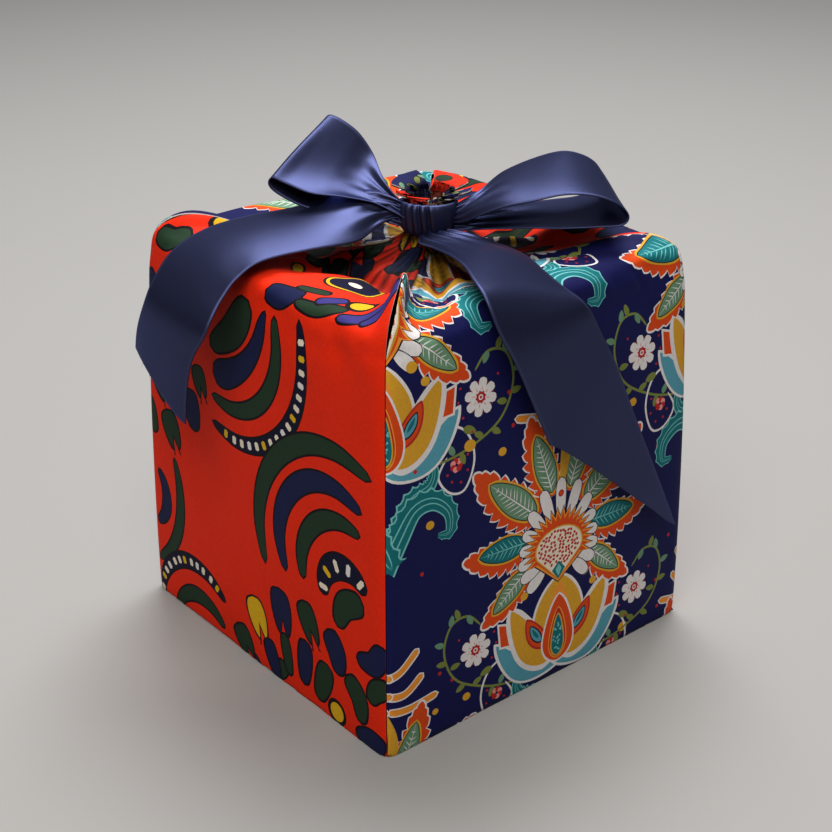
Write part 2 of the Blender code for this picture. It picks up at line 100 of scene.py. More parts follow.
TUFT_STRETCH = 0.20  # how much wider the tuft's edge is along the bow
TUFT_FLATTEN = 0.42  # how much narrower it is across the bow
TUFT_LEAN_REAR = np.array((0.0012, 0.0066))  # how far its rear edge leans, along and across the bow
TUFT_LEAN_FRONT = np.array((0.0010, 0.0010))
TUFT_FRONT = 0.3  # share of its rear's height that its front has
TUFT_REAR_PLACE = 3.0
TUFT_TWIST = radians(16)
TUFT_PARTING = 0.0040  # how far a sheet stops short of its seam at the tuft's edge
TUFT_PEAK = 0.0034  # how much higher its rear corner stands than in the CAD part
TUFT_PEAK_REACH = 1.1  # how far round from its rear the peak runs out, in sides
TUFT_PEAK_FORM = 1.2  # over 1 makes the peak's slopes hollow
TUFT_PEAK_SINK = 0.35  # share of the peak's height by which the whole rear is lowered
CORNER_PARTING = 0.0009  # the seams gape a little where the top corners are pinched
CORNER_ROWS = (6.2, 7.6, 9.4)  # sections where the gap begins, is widest and ends

# Folds, as in the CAD part: where round the bag (0 to 1 front, 1 to 2 right, 2 to 3 rear, 3 to 4 left), how
# wide, how high, from which section to which, how far its place drifts, and how far it leans sideways.
FOLD_COLUMNS = "place spread height start end drift lean"
FOLDS = table(FOLD_COLUMNS, (
    (1.00, 0.055, 0.0155, 5.8, 12.6, 0.00, 0.20),
    (2.00, 0.065, 0.0045, 5.2, 12.0),
    (3.00, 0.450, -0.0070, 4.6, 14.4),
    (3.00, 0.065, 0.0035, 6.4, 13.0),
    (3.98, 0.070, 0.0075, 5.2, 12.4, 0.01),
    (0.24, 0.055, 0.0030, 8.5, 17.0, 0.08),
    (0.46, 0.060, -0.0034, 8.0, 16.0, 0.02),
    (0.70, 0.050, 0.0010, 9.0, 17.0, -0.04),
    (0.84, 0.045, -0.0012, 8.5, 15.0, -0.02),
    (1.17, 0.040, -0.0030, 7.5, 15.5, 0.06),
    (1.30, 0.045, 0.0030, 8.5, 17.0, 0.05),
    (1.47, 0.050, -0.0026, 8.5, 16.0, 0.02),
    (1.68, 0.055, 0.0028, 8.8, 17.0, -0.05),
    (1.88, 0.040, -0.0022, 8.0, 15.0, -0.03),
    (2.22, 0.055, 0.0030, 8.5, 17.0, 0.06),
    (2.45, 0.060, -0.0032, 8.0, 16.0, 0.02),
    (2.72, 0.050, 0.0030, 8.8, 17.0, -0.05),
    (3.20, 0.055, -0.0028, 8.5, 16.0, 0.05),
    (3.42, 0.050, 0.0032, 8.5, 17.0, 0.03),
    (3.68, 0.060, -0.0030, 8.0, 16.0, -0.04),
    (0.86, 0.050, -0.0012, 3.6, 6.8, -0.05),
    (1.90, 0.050, -0.0016, 4.2, 7.2, -0.04),
    (0.50, 0.300, 0.0009, 1.0, 6.0),
    (1.50, 0.300, 0.0009, 1.0, 6.0),
    (2.50, 0.300, 0.0009, 1.0, 6.0),
    (3.50, 0.300, 0.0009, 1.0, 6.0),
), 0.0, 0.0)
# Small creases that only the looks have.
CREASES = table(FOLD_COLUMNS, (
    (0.74, 0.020, 0.0007, 3.4, 6.6, 0.08),
    (0.88, 0.016, -0.0007, 3.8, 6.9, 0.05),
    (0.30, 0.022, 0.0005, 4.2, 7.0, -0.04),
    (0.55, 0.018, -0.0005, 4.4, 7.4, 0.03),
    (0.10, 0.018, 0.0006, 4.0, 7.0, 0.03),
    (1.12, 0.018, 0.0006, 3.9, 7.0, 0.03),
    (1.40, 0.020, -0.0004, 4.3, 7.2, 0.03),
    (1.72, 0.018, 0.0007, 4.4, 7.2, -0.04),
    (1.84, 0.016, -0.0008, 4.0, 7.0, -0.05),
    (1.95, 0.014, 0.0006, 4.2, 7.4, -0.02),
    (2.15, 0.020, 0.0006, 4.2, 7.0, 0.04),
    (2.55, 0.022, -0.0006, 4.3, 7.3, 0.02),
    (2.84, 0.018, 0.0007, 4.0, 7.0, -0.04),
    (3.16, 0.020, 0.0006, 4.1, 7.1, 0.04),
    (3.50, 0.024, -0.0005, 4.3, 7.3, 0.02),
    (3.86, 0.018, 0.0007, 4.0, 7.0, -0.04),
    (0.36, 0.020, 0.0011, 9.0, 16.0, 0.05),
    (0.60, 0.022, -0.0006, 11.5, 16.5),
    (0.92, 0.016, 0.0006, 9.5, 16.0, -0.03),
    (1.08, 0.014, 0.0010, 9.0, 15.5, 0.03),
    (1.38, 0.018, 0.0012, 9.5, 16.5, 0.02),
    (1.58, 0.020, -0.0011, 9.0, 16.0, -0.03),
    (1.78, 0.016, 0.0010, 9.0, 15.5, -0.04),
    (2.35, 0.020, 0.0011, 9.0, 16.0, 0.05),
    (2.60, 0.020, 0.0010, 9.5, 16.0, -0.03),
    (2.88, 0.018, -0.0010, 9.0, 15.5, -0.03),
    (3.10, 0.016, 0.0010, 9.0, 15.5, 0.03),
    (3.32, 0.018, -0.0011, 9.5, 16.0, 0.02),
    (3.55, 0.020, 0.0011, 9.0, 16.5, -0.02),
    (3.80, 0.018, 0.0010, 9.0, 16.0, -0.04),
), 0.0, 0.0)
# Deep cross creases where a top flap is tucked under, which only the looks have. Level and reach are counted
# in sections, and slope is how far the crease climbs over its own spread.
GROOVES = table("place spread level reach depth slope", (
    (0.56, 0.34, 12.6, 0.60, 0.0050, 0.3),
    (1.55, 0.30, 12.2, 0.70, 0.0026, -0.4),
    (2.50, 0.34, 11.9, 0.75, 0.0032, 0.3),
    (3.52, 0.32, 11.8, 0.75, 0.0034, -0.3),
))
# The rows of the next three say at which sections a thing begins, is full, is still full, and has faded.
WAVE, RIPPLE = 0.00028, 0.00012  # heights of the unevenness of cloth on a flat side
SLACK_ROWS = (0.0, 1.5, 12.0, 15.0)
SLACK_OFF_SEAM = 0.05  # share of a side, next to a seam, that is kept flat
GATHERS = 44  # pleats round the neck
GATHER_DEPTH = 0.00045
GATHER_ROWS = (11.5, 15.5, 19.2, 21.0)
PAINTED_SHADE = 0.92  # most that painted shade darkens the cloth's colours, standing in for the shade between packed pleats and under the bow round the neck
PAINTED_SHADE_MEAN, PAINTED_SHADE_SWING = 0.78, 0.22  # mean share of that shade, and how much it varies over a pleat
# The painted shade darkens a ring of cloth round the neck and fades out in the tuft.
PAINTED_SHADE_ROWS = (10.6, 13.4, 20.0, 22.2)
PALE_EDGES = (6.0, 13.0)  # sections between which the cloth's cut edges show, pale
PLACE_STEP, LEVEL_STEP = 0.02, 0.05  # how far to each side a surface's directions are measured
FINE_STEPS = 960  # steps in which lengths up a side are measured
BASE_HALF = SECTIONS[0].half
BASE_EDGE = 0.0018  # the base's open sides lie this far inside the hem
HEM_TURN = 0.002  # how far each way of the bottom fold the sheet turns from wall to base


def smooth(knots, place):
    """Rows of a table at places between its rows, read from a Catmull-Rom curve through them."""
    rows = np.array(knots, float)
    place = np.asarray(place, float)
    first = np.clip(np.floor(place).astype(int), 0, len(rows) - 2)
    share = (place - first)[..., None]
    before, here, there, after = (rows[np.clip(first + step, 0, len(rows) - 1)] for step in (-1, 0, 1, 2))
    square, cube = share**2, share**3
    return (
        (2 * cube - 3 * square + 1) * here
        + (cube - 2 * square + share) * (there - before) / 2
        + (3 * square - 2 * cube) * there
        + (cube - square) * (after - here) / 2
    )


def turned(plan, angle):
    """Points in plan, turned about +Z."""
    cos, sin = np.cos(angle), np.sin(angle)
    return np.stack((plan[..., 0] * cos - plan[..., 1] * sin, plan[..., 0] * sin + plan[..., 1] * cos), -1)


def unit(vectors):
    return vectors / np.linalg.norm(vectors, axis=-1, keepdims=True)


def eased(low, high, value):
    """0 below low, 1 above high, and a smooth step between."""
    share = np.clip((value - low) / (high - low), 0.0, 1.0)
    return share * share * (3 - 2 * share)


def between(rows, level):
    """0 up to the first of four rows, 1 from the second to the third, and 0 again from the fourth."""
    begin, full, still, end = rows
    return eased(begin, full, level) * (1 - eased(still, end, level))


def above_neck(level):
    """0 up to the neck's top, 1 at the tuft's edge."""
    return np.clip(level - NECK_TOP, 0.0, None) / (TOP - NECK_TOP)


def section_ring(place, half, squareness):
    """Points of superellipses in plan, at places round the bag, and how far across its side each lies."""
    panel = np.floor(place)
    across = 2 * (place - panel) - 1
    direction = np.stack((across, -np.ones_like(across)), -1) / np.hypot(across, 1.0)[..., None]
    reach = half / (np.abs(direction) ** squareness[..., None]).sum(-1) ** (1 / squareness)
    return turned(direction * reach[..., None], radians(90) * panel), across


def flared(plan, high, rear):
    """Points above the neck, drawn out along the bow, flattened across it and leaning with the tuft."""
    drawn = turned(plan, TUFT_TWIST * high**2 - BOW_TURN)
    drawn = drawn * np.stack((1 + TUFT_STRETCH * high, 1 - TUFT_FLATTEN * high), -1)
    lean = TUFT_LEAN_FRONT + (TUFT_LEAN_REAR - TUFT_LEAN_FRONT) * rear[..., None]
    return turned(drawn + lean * (high**2)[..., None], BOW_TURN)


def bare_surface(place, level):
    """The bag's outer surface with no folds in it, at places round the bag and section numbers."""
    place = place % 4
    half, height, squareness, to_neck, corner_drop = np.moveaxis(smooth(SECTIONS, level), -1, 0)
    plan, across = section_ring(place, half, squareness)
    height = height - corner_drop * np.abs(across) ** CORNER_FALL
    high = above_neck(level)
    away = np.abs((place - TUFT_REAR_PLACE + 2) % 4 - 2)
    rear = (1 + np.cos(radians(90) * away)) / 2
    peak = np.clip(1 - away / TUFT_PEAK_REACH, 0, 1) ** TUFT_PEAK_FORM
    plan = np.where((high > 0)[..., None], flared(plan, high, rear), plan)
    neck_height = SECTIONS[NECK_TOP].height
    raised = neck_height + (height - neck_height) * (TUFT_FRONT + (1 - TUFT_FRONT) * rear)
    raised = raised + TUFT_PEAK * high * (peak - TUFT_PEAK_SINK * rear)
    height = np.where(high > 0, raised, height)
    plan = plan + NECK_SHIFT * to_neck[..., None]
    return np.stack((plan[..., 0], plan[..., 1], height), -1)


def ways(surface, place, level):
    """The outward and sideways directions of a surface given as a function of place and level."""
    seam = np.round(place)
    past = place - seam
    place = seam + past * np.minimum(np.abs(past) / SEAM_NEAR, 1.0) ** 2
    low, high = np.maximum(level - LEVEL_STEP, 0.0), np.minimum(level + LEVEL_STEP, float(TOP))
    sideways = surface(place + PLACE_STEP, level) - surface(place - PLACE_STEP, level)
    outward = np.cross(sideways, surface(place, high) - surface(place, low))
    return unit(outward), unit(sideways)


def fold_rise(fold, place, level):
    """How far one fold lifts the cloth off its bare surface."""
    along = np.clip((level - fold.start) / (fold.end - fold.start), 0.0, 1.0)
    away = (place - fold.place - fold.drift * along + 2) % 4 - 2
    return fold.height * np.sin(np.pi * along) ** 2 * np.exp(-((away / fold.spread) ** 2))


def groove_rise(groove, place, level):
    """How far one cross crease sinks the cloth below its bare surface."""
    away = (place - groove.place + 2) % 4 - 2
    off = (level - groove.level - groove.slope * away / groove.spread) / groove.reach
    return -groove.depth * np.exp(-(off**2)) * np.exp(-((away / groove.spread) ** 4))


def gathers(place, level):
    """Fine pleats that run into the neck and out again into the tuft."""
    angle = 2 * np.pi * place / 4
    pleats = np.sin(GATHERS * angle + 1.5 * np.sin(3 * angle)) + 0.6 * np.sin(27 * angle + 2.0)
    return GATHER_DEPTH * between(GATHER_ROWS, level) * pleats


def slack(place, level):
    """The slight unevenness of cloth that lies on a flat box side."""
    wave = np.sin(9.1 * place + 0.9 * level) * np.sin(2.3 * level + 3.7 * place)
    ripple = np.sin(23.0 * place - 1.7 * level + 1.0) * np.sin(3.1 * level + 5.0 * place)
    off_seam = 1 - np.exp(-(((place - np.round(place)) / SLACK_OFF_SEAM) ** 2))
    return (WAVE * wave + RIPPLE * ripple) * off_seam * between(SLACK_ROWS, level)


def bag_surface(place, level):
    """The bag's outer surface with its folds and creases."""
    rise = gathers(place, level) + slack(place, level)
    push = np.zeros_like(rise)
    for groove in GROOVES:
        rise = rise + groove_rise(groove, place, level)
    for fold in FOLDS + CREASES:
        height = fold_rise(fold, place, level)
        rise = rise + height
        push = push + height * fold.lean
    outward, sideways = ways(bare_surface, place, level)
    return bare_surface(place, level) + rise[..., None] * outward + push[..., None] * sideways


def through_cloth(place, level):
    """The way from the bag's outer surface to its inner one."""
    straight, _ = ways(bare_surface, place, level)
    steepness = (ways(bag_surface, place, level)[0] * straight).sum(-1)
    return straight * (-CLOTH / np.maximum(steepness, 1 / STEEP))[..., None]


# Flat cloth. A side of the bag is measured in millimetres: x across it from its middle, y up from its hem.
FINE_LEVELS = np.linspace(0, TOP, FINE_STEPS)
HALF_AT, HEIGHT_AT = smooth(SECTIONS, FINE_LEVELS)[:, :2].T
LENGTH_AT = np.concatenate(([0.0], np.cumsum(np.hypot(np.diff(HALF_AT), np.diff(HEIGHT_AT))))) / MM
SIDE_LENGTH = LENGTH_AT[-1]
NECK_LENGTH = np.interp(NECK_TOP, FINE_LEVELS, LENGTH_AT)
BASE_LENGTH = 2 * BASE_HALF / MM


def level_at(length):
    return np.interp(length, LENGTH_AT, FINE_LEVELS)


def half_at(level):
    """Half of a side's width (mm) at a level."""
    return np.interp(level, FINE_LEVELS, HALF_AT) / MM


def side_place(panel, flat):
    """Place and level of flat points (mm) on one side of the bag."""
    level = level_at(flat[:, 1])
    return panel + 0.5 + flat[:, 0] / (2 * half_at(level)), level


def side_edge(length):
    """Half of a side's flat width (mm) at this length up from its hem."""
    level = level_at(length)
    open_from, widest, open_to = CORNER_ROWS
    corner = between((open_from, widest, widest, open_to), level)
    half = np.interp(level, FINE_LEVELS, HALF_AT)
    return (half - SEAM - TUFT_PARTING * above_neck(level) - CORNER_PARTING * corner) / MM


class PanelShape:
    """A vermilion panel: one side of the bag, from its hem to the tuft."""

    def __init__(self, panel):
        self.panel = panel
        self.bottom, self.top = 0.0, SIDE_LENGTH

    def edge(self, length):
        return side_edge(length)

    def points(self, flat):
        return bag_surface(*side_place(self.panel, flat))

    def through(self, flat):
        place, level = side_place(self.panel, flat)
        way = through_cloth(place, level)
        near_hem = (level < LEVEL_STEP)[:, None]
        level_way = unit(way * (1, 1, 0)) * CLOTH
        return np.where(near_hem, level_way, way)

    def height_up(self, length):
        return length


class StripShape:
    """The navy strip: y is 0 at the right hem, negative across the base and further down the left side."""

    def __init__(self):
        self.bottom, self.top = -BASE_LENGTH - SIDE_LENGTH, SIDE_LENGTH

    def height_up(self, length):
        """Length up the side that a flat y lies on, or 0 on the base."""
        return np.where(length > 0, length, np.maximum(-BASE_LENGTH - length, 0.0))

    def edge(self, length):
        on_base = (length < -1.0) & (length > 1.0 - BASE_LENGTH)
        return np.where(on_base, (BASE_HALF - BASE_EDGE) / MM, side_edge(self.height_up(length)))

    def parts(self, flat):
        """Masks of the right side and the left side, and the flat points as they lie on each."""
        right = flat[:, 1] >= 0
        left = flat[:, 1] <= -BASE_LENGTH
        on_left = np.stack((-flat[:, 0], -BASE_LENGTH - flat[:, 1]), -1)
        return right, left, on_left

    def points(self, flat):
        right, left, on_left = self.parts(flat)
        made = np.stack((BASE_HALF + flat[:, 1] * MM, flat[:, 0] * MM, np.zeros(len(flat))), -1)
        made[right] = bag_surface(*side_place(RIGHT, flat[right]))
        made[left] = bag_surface(*side_place(LEFT, on_left[left]))
        return made

    def through(self, flat):
        right, left, on_left = self.parts(flat)
        way = np.tile((0.0, 0.0, CLOTH), (len(flat), 1))
        way[right] = through_cloth(*side_place(RIGHT, flat[right]))
        way[left] = through_cloth(*side_place(LEFT, on_left[left]))
        for hem, inward in ((0.0, -1.0), (-BASE_LENGTH, 1.0)):
            past = (flat[:, 1] - hem) * -inward * MM / HEM_TURN
            near = np.abs(past) < 1
            angle = radians(45) * (1 - past[near])
            wall = np.stack((np.cos(angle) * inward, np.zeros(near.sum()), np.sin(angle)), -1)
            way[near] = wall * CLOTH
        return way


# Palette of both prints, in sRGB.
COLOURS = {
    "vermilion": (236, 42, 8),
    "black": (22, 12, 18),
    "bottle": (34, 56, 38),
    "ink": (24, 30, 70),
    "violet": (58, 52, 122),
    "yellow": (226, 178, 26),
    "cream": (240, 226, 204),
    "navy": (20, 22, 76),
    "midnight": (14, 14, 44),
    "orange": (222, 74, 24),
    "flame": (240, 150, 52),
    "gold": (220, 162, 46),
    "white": (232, 226, 224),
    "turquoise": (88, 160, 178),
    "teal": (20, 112, 118),
    "aqua": (120, 196, 192),
    "leaf": (106, 146, 114),
    "olive": (122, 132, 62),
    "pink": (236, 150, 142),
    "red": (188, 42, 40),
    "wine": (104, 22, 48),
    "selvedge": (196, 180, 172),
    "red_reverse": (196, 92, 74),
    "navy_reverse": (74, 78, 122),
}


def linear(rgb):
    value = np.array(rgb) / 255
    return np.where(value <= 0.04045, value / 12.92, ((value + 0.055) / 1.055) ** 2.4)


# Shapes of a print. Each is a list of (colour, outline) in painter's order, outlines in millimetres. The
# forms give a stroke's width, 0 to about 1, at shares 0 to 1 of its length.
def rounded(share, sharpness=9):
    """1 along a stroke, falling to 0 in a round end at each of its ends."""
    near = np.clip(np.minimum(share, 1 - share) * sharpness, 0, 1)
    return np.sqrt(near * (2 - near))


def crescent(share):
    return rounded(share, 16) * (0.44 + 0.56 * np.sin(np.pi * share))


def drop(share):
    return np.sqrt(np.maximum(share * (1 - share**2.4), 0)) * 1.42


def leaf(share):
    return np.sin(np.pi * share**0.85) ** 0.9


def club(share):
    """Pointed at its start and fat towards its end."""
    return rounded(share, 6) * (0.25 + 0.75 * share)


def thinning(share):
    return np.sqrt(np.clip(share * 12, 0, 1)) * (1 - share) ** 0.75


def curve(points, samples):
    return smooth(points, np.linspace(0, len(points) - 1, samples))


def pointing(angle):
    return np.array((np.cos(angle), np.sin(angle)))


def left_of(way):
    """Flat directions turned a quarter to the left."""
    return np.stack((-way[..., 1], way[..., 0]), -1)


def axes(base, tip):
    """Two points as arrays, the direction from one to the other, and the one to its left."""
    base, tip = np.array(base, float), np.array(tip, float)
    way = unit(tip - base)
    return base, tip, way, left_of(way)


def band(line, side, left, right):
    """Outline up one side of a line and back down the other, at half widths for each of its points."""
    return np.vstack((line + side * left[:, None], (line - side * right[:, None])[::-1]))


def stroke(points, width, form=rounded, grow=0.0, samples=22):
    """Outline of a brush stroke along a curve. grow makes it wider and longer all round."""
    points = np.array(points, float)
    first = points[0] - grow * unit(points[1] - points[0])
    last = points[-1] + grow * unit(points[-1] - points[-2])
    line = curve(np.vstack((first, points[1:-1], last)), samples)
    share = np.linspace(0, 1, samples)
    side = left_of(unit(np.gradient(line, axis=0)))
    half = width / 2 * form(share) + grow * np.minimum(1, 6 * np.minimum(share, 1 - share) + 0.2)
    return band(line, side, half, half)


def disc(centre, radius, sides=14, squash=1.0, turn=0.0):
    angle = np.linspace(0, 2 * np.pi, sides, endpoint=False)
    flat = np.stack((radius * np.cos(angle), radius * squash * np.sin(angle)), -1)
    return turned(flat, radians(turn)) + centre


def dots(colour, spots, radius, sides=6):
    return [(colour, disc(spot, radius, sides)) for spot in spots]


def arc(centre, radius, start, end, squash=1.0, count=7):
    """Points along an arc, its angles in degrees."""
    angle = np.radians(np.linspace(start, end, count))
    return np.stack((centre[0] + radius * np.cos(angle), centre[1] + radius * squash * np.sin(angle)), -1)


def lined(points, width, form, fill, line="black", edge=0.9, samples=22):
    """A stroke with a drawn line all round it."""
    grown = ((line, edge), (fill, 0.0))
    return [(colour, stroke(points, width, form, grow, samples)) for colour, grow in grown]


def beads(path, count, length, width):
    """Beads laid across a curved stroke."""
    shapes = []
    line = curve(path, 60)
    for number, share in enumerate(np.linspace(0.1, 0.92, count)):
        spot = int(share * 58)
        side = left_of(unit(line[spot + 1] - line[spot])) * length / 2
        outline = stroke((line[spot] - side, line[spot] + side), width, samples=6)
        shapes.append((BEAD_COLOURS[number % len(BEAD_COLOURS)], outline))
    return shapes


def moved(shapes, offset=(0, 0), mirror=False):
    return [(colour, (outline * (-1, 1) if mirror else outline) + offset) for colour, outline in shapes]


def both_ways(shapes, offset=(0, 0)):
    """Shapes and their mirror images, each moved by the same offset."""
    return moved(shapes, offset) + moved(shapes, offset, mirror=True)


# The vermilion print: nested crescents, beaded arcs and a fan of notched seeds. Angles are in degrees. A
# count of -1 beads makes an arc club-shaped.
RED_ARCS = table("fill centre radius start end width beads", (
    ("ink", (-31, 155), 38, -6, -80, 12.0, -1),
    ("bottle", (-17, 139), 32, 22, -106, 6.4),
    ("ink", (-13, 138), 43, 22, -108, 6.4, 17),
    ("bottle", (50, 67), 47, 200, 68, 8.0),
    ("ink", (48, 68), 32, 206, 62, 8.0),
    ("bottle", (55, 62), 26, 194, 74, 7.2),
    ("ink", (55, 57), 13.5, 190, 40, 9.5, 5),
    ("ink", (-79, 48), 15, 48, -62, 6.0),
    ("bottle", (-96, 53), 43, 22, -58, 5.6),
    ("ink", (-43, -4), 30, 176, 50, 6.4, 12),
    ("bottle", (-41, -9), 21, 158, 44, 6.6),
), 0)
RED_SEEDS = table("fill base tip width notch bend", (  # widest towards the tip; the notch is in the base
    ("yellow", (2, 14), (-4, 31), 12.0, 1),
    ("ink", (16, 23), (14, 43), 13.0, 1),
    ("bottle", (36, 29), (29, 45), 11.0, 1),
    ("bottle", (-7, 1), (-15, 13), 12.0, 1),
    ("ink", (11, 1), (5, 16), 8.0),
    ("bottle", (19, 7), (16, 24), 6.0),
    ("ink", (28, 8), (30, 28), 9.0),
    ("bottle", (37, 6), (43, 24), 10.0),
    ("ink", (50, 24), (44, 40), 11.0, 0, -2.0),
    ("bottle", (50, 45), (64, 60), 11.0, 0, 4.0),
    ("ink", (61, 37), (75, 47), 10.0, 0, -4.0),
    ("bottle", (63, 10), (55, 26), 10.0, 0, -3.0),
    ("bottle", (68, 22), (78, 31), 9.0, 0, 2.0),
    ("ink", (60, 3), (76, 4), 9.0, 0, 2.0),
    ("ink", (20, -10), (26, -1), 8.0),
    ("bottle", (-54, 74), (-60, 89), 12.0, 1),
    ("bottle", (-70, 76), (-75, 90), 10.0),
    ("bottle", (-33, 104), (-37, 116), 9.0, 1),
    ("bottle", (-60, 93), (-67, 105), 10.0, 1),
    ("ink", (-40, 88), (-43, 104), 11.0),
    ("ink", (-74, 128), (-63, 143), 12.0, 0, 3.0),
    ("bottle", (-26, 128), (-3, 152), 13.0, 0, -3.0),
    ("ink", (22, 164), (6, 159), 9.5, 0, 2.0),
    ("bottle", (16, 166), (28, 170), 4.4),
    ("bottle", (22, 160), (43, 166), 5.4, 0, -2.5),
    ("violet", (30, 163), (37, 171), 5.4),
    ("violet", (44, 161), (56, 173), 6.0, 0, -2.5),
    ("violet", (54, 163), (62, 171), 5.0),
    ("bottle", (-9, 189), (-16, 198), 6.4),
    ("bottle", (-4, 193), (-10, 202), 6.4),
    ("ink", (0, 201), (-6, 209), 6.4),
    ("yellow", (-2, 178), (-9, 184), 4.0),
    ("bottle", (10, 208), (16, 216), 7.0),
    ("ink", (-26, 176), (-40, 184), 9.0, 0, 3.0),
    ("bottle", (-66, 160), (-52, 166), 9.0, 0, -3.0),
    ("bottle", (-28, 192), (-22, 204), 8.0),
), 0, 0.0)
RED_RINGS = (((48, 6), 4.6), ((43, 172), 4.4), ((-52, 178), 4.4))  # centre and radius
RED_EYE = ((21, 186), 10.0)
BEAD_COLOURS = ("cream", "yellow", "cream", "white", "cream")
BEAD_LENGTH, BEAD_WIDTH = 0.56, 2.3  # the length as a share of its stroke's width
NOTCH_DEPTH = 0.42  # as a share of its seed's length
RED_REPEAT = (166.0, 206.0)


def red_arc(row):
    path = arc(row.centre, row.radius, row.start, row.end)
    form = club if row.beads < 0 else crescent
    shapes = lined(path, row.width, form, "midnight" if row.beads > 0 else row.fill, samples=30)
    if row.beads > 0:
        shapes += beads(path, row.beads, row.width * BEAD_LENGTH, BEAD_WIDTH)
    return shapes


def red_seed(row):
    base, tip, way, side = axes(row.base, row.tip)
    path = (base, (base + tip) / 2 + side * row.bend, tip)
    shapes = lined(path, row.width, drop, row.fill, samples=16)
    if row.notch:
        depth = np.linalg.norm(tip - base) * NOTCH_DEPTH
        for colour, back, half, reach in (("black", 2.2, 2.9, depth), ("vermilion", 2.4, 2.0, depth - 2.2)):
            foot = base - way * back
            shapes.append((colour, np.array((foot - side * half, foot + side * half, base + way * reach))))
    return shapes


def red_print():
    shapes = []
    for row in RED_ARCS:
        shapes += red_arc(row)
    for row in RED_SEEDS:
        shapes += red_seed(row)
    for centre, radius in RED_RINGS:
        shapes += [("black", disc(centre, radius + 1.1, 20)), ("yellow", disc(centre, radius - 0.6, 20))]
    centre, radius = RED_EYE
    for colour, grow in (("black", 1.0), ("yellow", 0.0), ("midnight", -1.2)):
        shapes.append((colour, disc(centre, radius + grow, 32)))
    shapes.append(("cream", disc(centre, radius * 0.28, 14, 0.8)))
    return shapes


# The navy print: palmettes over lotuses, with vines, curls and small dots, in a half-drop repeat.
PALMETTE_LEAVES = table("base tip width bend teeth fill vein", (  # the left half, mirrored to the right
    ((-15, -3), (-38, -22), 17, 1.5, 7, "leaf", "white"),
    ((-15, 8), (-47, 8), 20, 2.5, 8, "teal", "aqua"),
    ((-11, 17), (-42, 42), 23, 2.0, 9, "leaf", "white"),
    ((-4, 24), (-16, 58), 20, 1.5, 9, "leaf", "white"),
))
WHITE_PETALS = 15
FLAME_TEETH = 22
FLAME_DIP, FLAME_TIP = 13.4, 17.6  # radii of the flame's toothed edge
STIPPLES = 125
STIPPLE_GAP = 1.3
GIVE_UP = 0.002  # chance that a stipple that doesn't fit is the last one tried
NAVY_REPEAT = (164.0, 202.0)
REACH = 62.0  # how far a motif reaches from its origin
PALMETTE_AT = (6.0, 57.0)
NAVY_SHEAR = -0.08  # the print runs down to the right across the strip
FLAP_ROW = 200.0  # palmettes above this lie on the right side's top flap, where the cloth is gathered in
FLAP_SHIFT = np.array((-11.0, -28.0))
FINGERS = (((-2, 72), (6, 74), (14, 81)), ((-2, 65), (8, 64), (16, 70)), ((0, 58), (10, 57), (23, 59)))
GOLD_DOTS = (  # x, y and radius
    (-44, 54, 2.6), (-29, 48, 1.9), (-62, 28, 1.9), (-17, -15, 1.9), (19, -19, 1.9),
    (-45, -49, 1.9), (-60, -50, 1.5), (-68, 88, 2.4), (66, 60, 2.2), (42, 66, 1.8),
)
RED_DOTS = ((-66, 10), (-58, -34), (58, -44), (62, -12), (52, 30), (30, 62), (-26, 70), (-68, 50))
VINE_STEM = ((-22, -17), (-36, -14), (-51, -6), (-57, 7), (-54, 18), (-46, 20), (-39.5, 14))
VINE_LEAVES = (  # x, y and heading in degrees
    (-30, -15, 60), (-33, -15, -110), (-43, -11, 30), (-47, -9, -150), (-54, 0, 10),
    (-56, 3, 170), (-57, 11, 160), (-54, 18, 80), (-50, 20, 110), (-46, 20, -60),
)
TENDRIL = ((12, -12), (24, -9), (35, -13), (39, -24), (35, -35), (28, -35), (23, -28), (27, -21))
SCROLLS = (  # path and width of the two arms of a scroll
    (((3, -47), (10, -34), (19, -30), (21, -24), (17, -20)), 6.5),
    (((-2, -58), (5, -46), (12, -37), (21, -36), (28, -42), (28, -50), (22.5, -50)), 9.5),
)


def serrated(row, grow=0.0):
    """A leaf with a scalloped edge whose teeth lean to the tip."""
    base, tip, way, side = axes(row.base, row.tip)
    samples = row.teeth * 6 + 1
    share = np.linspace(0, 1, samples)
    line = curve((base, (base + tip) / 2 + side * row.bend, tip + way * grow), samples)
    tooth = ((share * row.teeth) % 1.0) ** 0.6
    body = 1.85 * share**0.50 * (1 - share) ** 0.90
    half = row.width / 2 * body * (0.76 + 0.42 * tooth) + grow
    return band(line, side, half, half)


def veined_leaf(base, tip, width, fill, vein):
    """An inner leaf: a gold rim, a dark line, its fill, a midrib and slanting veins."""
    base, tip, way, side = axes(base, tip)
    path = (base, (base + tip) / 2, tip)
    rims = (("gold", 1.1), ("midnight", 0.35), (fill, 0.0))
    shapes = [(colour, stroke(path, width, leaf, grow, 18)) for colour, grow in rims]
    shapes.append((vein, stroke(path, 0.7, thinning, 0.0, 8)))
    line = curve(path, 40)
    for share in np.arange(0.14, 0.82, 2.1 / np.linalg.norm(tip - base)):
        start = line[int(share * 39)]
        reach = width / 2 * leaf(np.array(share + 0.12)) * 0.86
        for sign in (-1, 1):
            end = start + way * reach * 0.75 + side * reach * sign
            shapes.append((vein, stroke((start, end), 0.62, thinning, 0.0, 4)))
    return shapes


def palmette_leaves():
    """Eight serrated leaves, each with a veined leaf laid in it, and a gold one at the top."""
    shapes = []
    for row in PALMETTE_LEAVES:
        base, tip, _, _ = axes(row.base, row.tip)
        one = [("white", serrated(row, 0.65)), ("orange", serrated(row))]
        inner_tip = base + (tip - base) * 0.76
        one += veined_leaf(base + (tip - base) * 0.05, inner_tip, row.width * 0.48, row.fill, row.vein)
        shapes += both_ways(one)
    return shapes + [("gold", stroke(((0, 26), (2, 44), (-1, 57)), 5.0, leaf))]


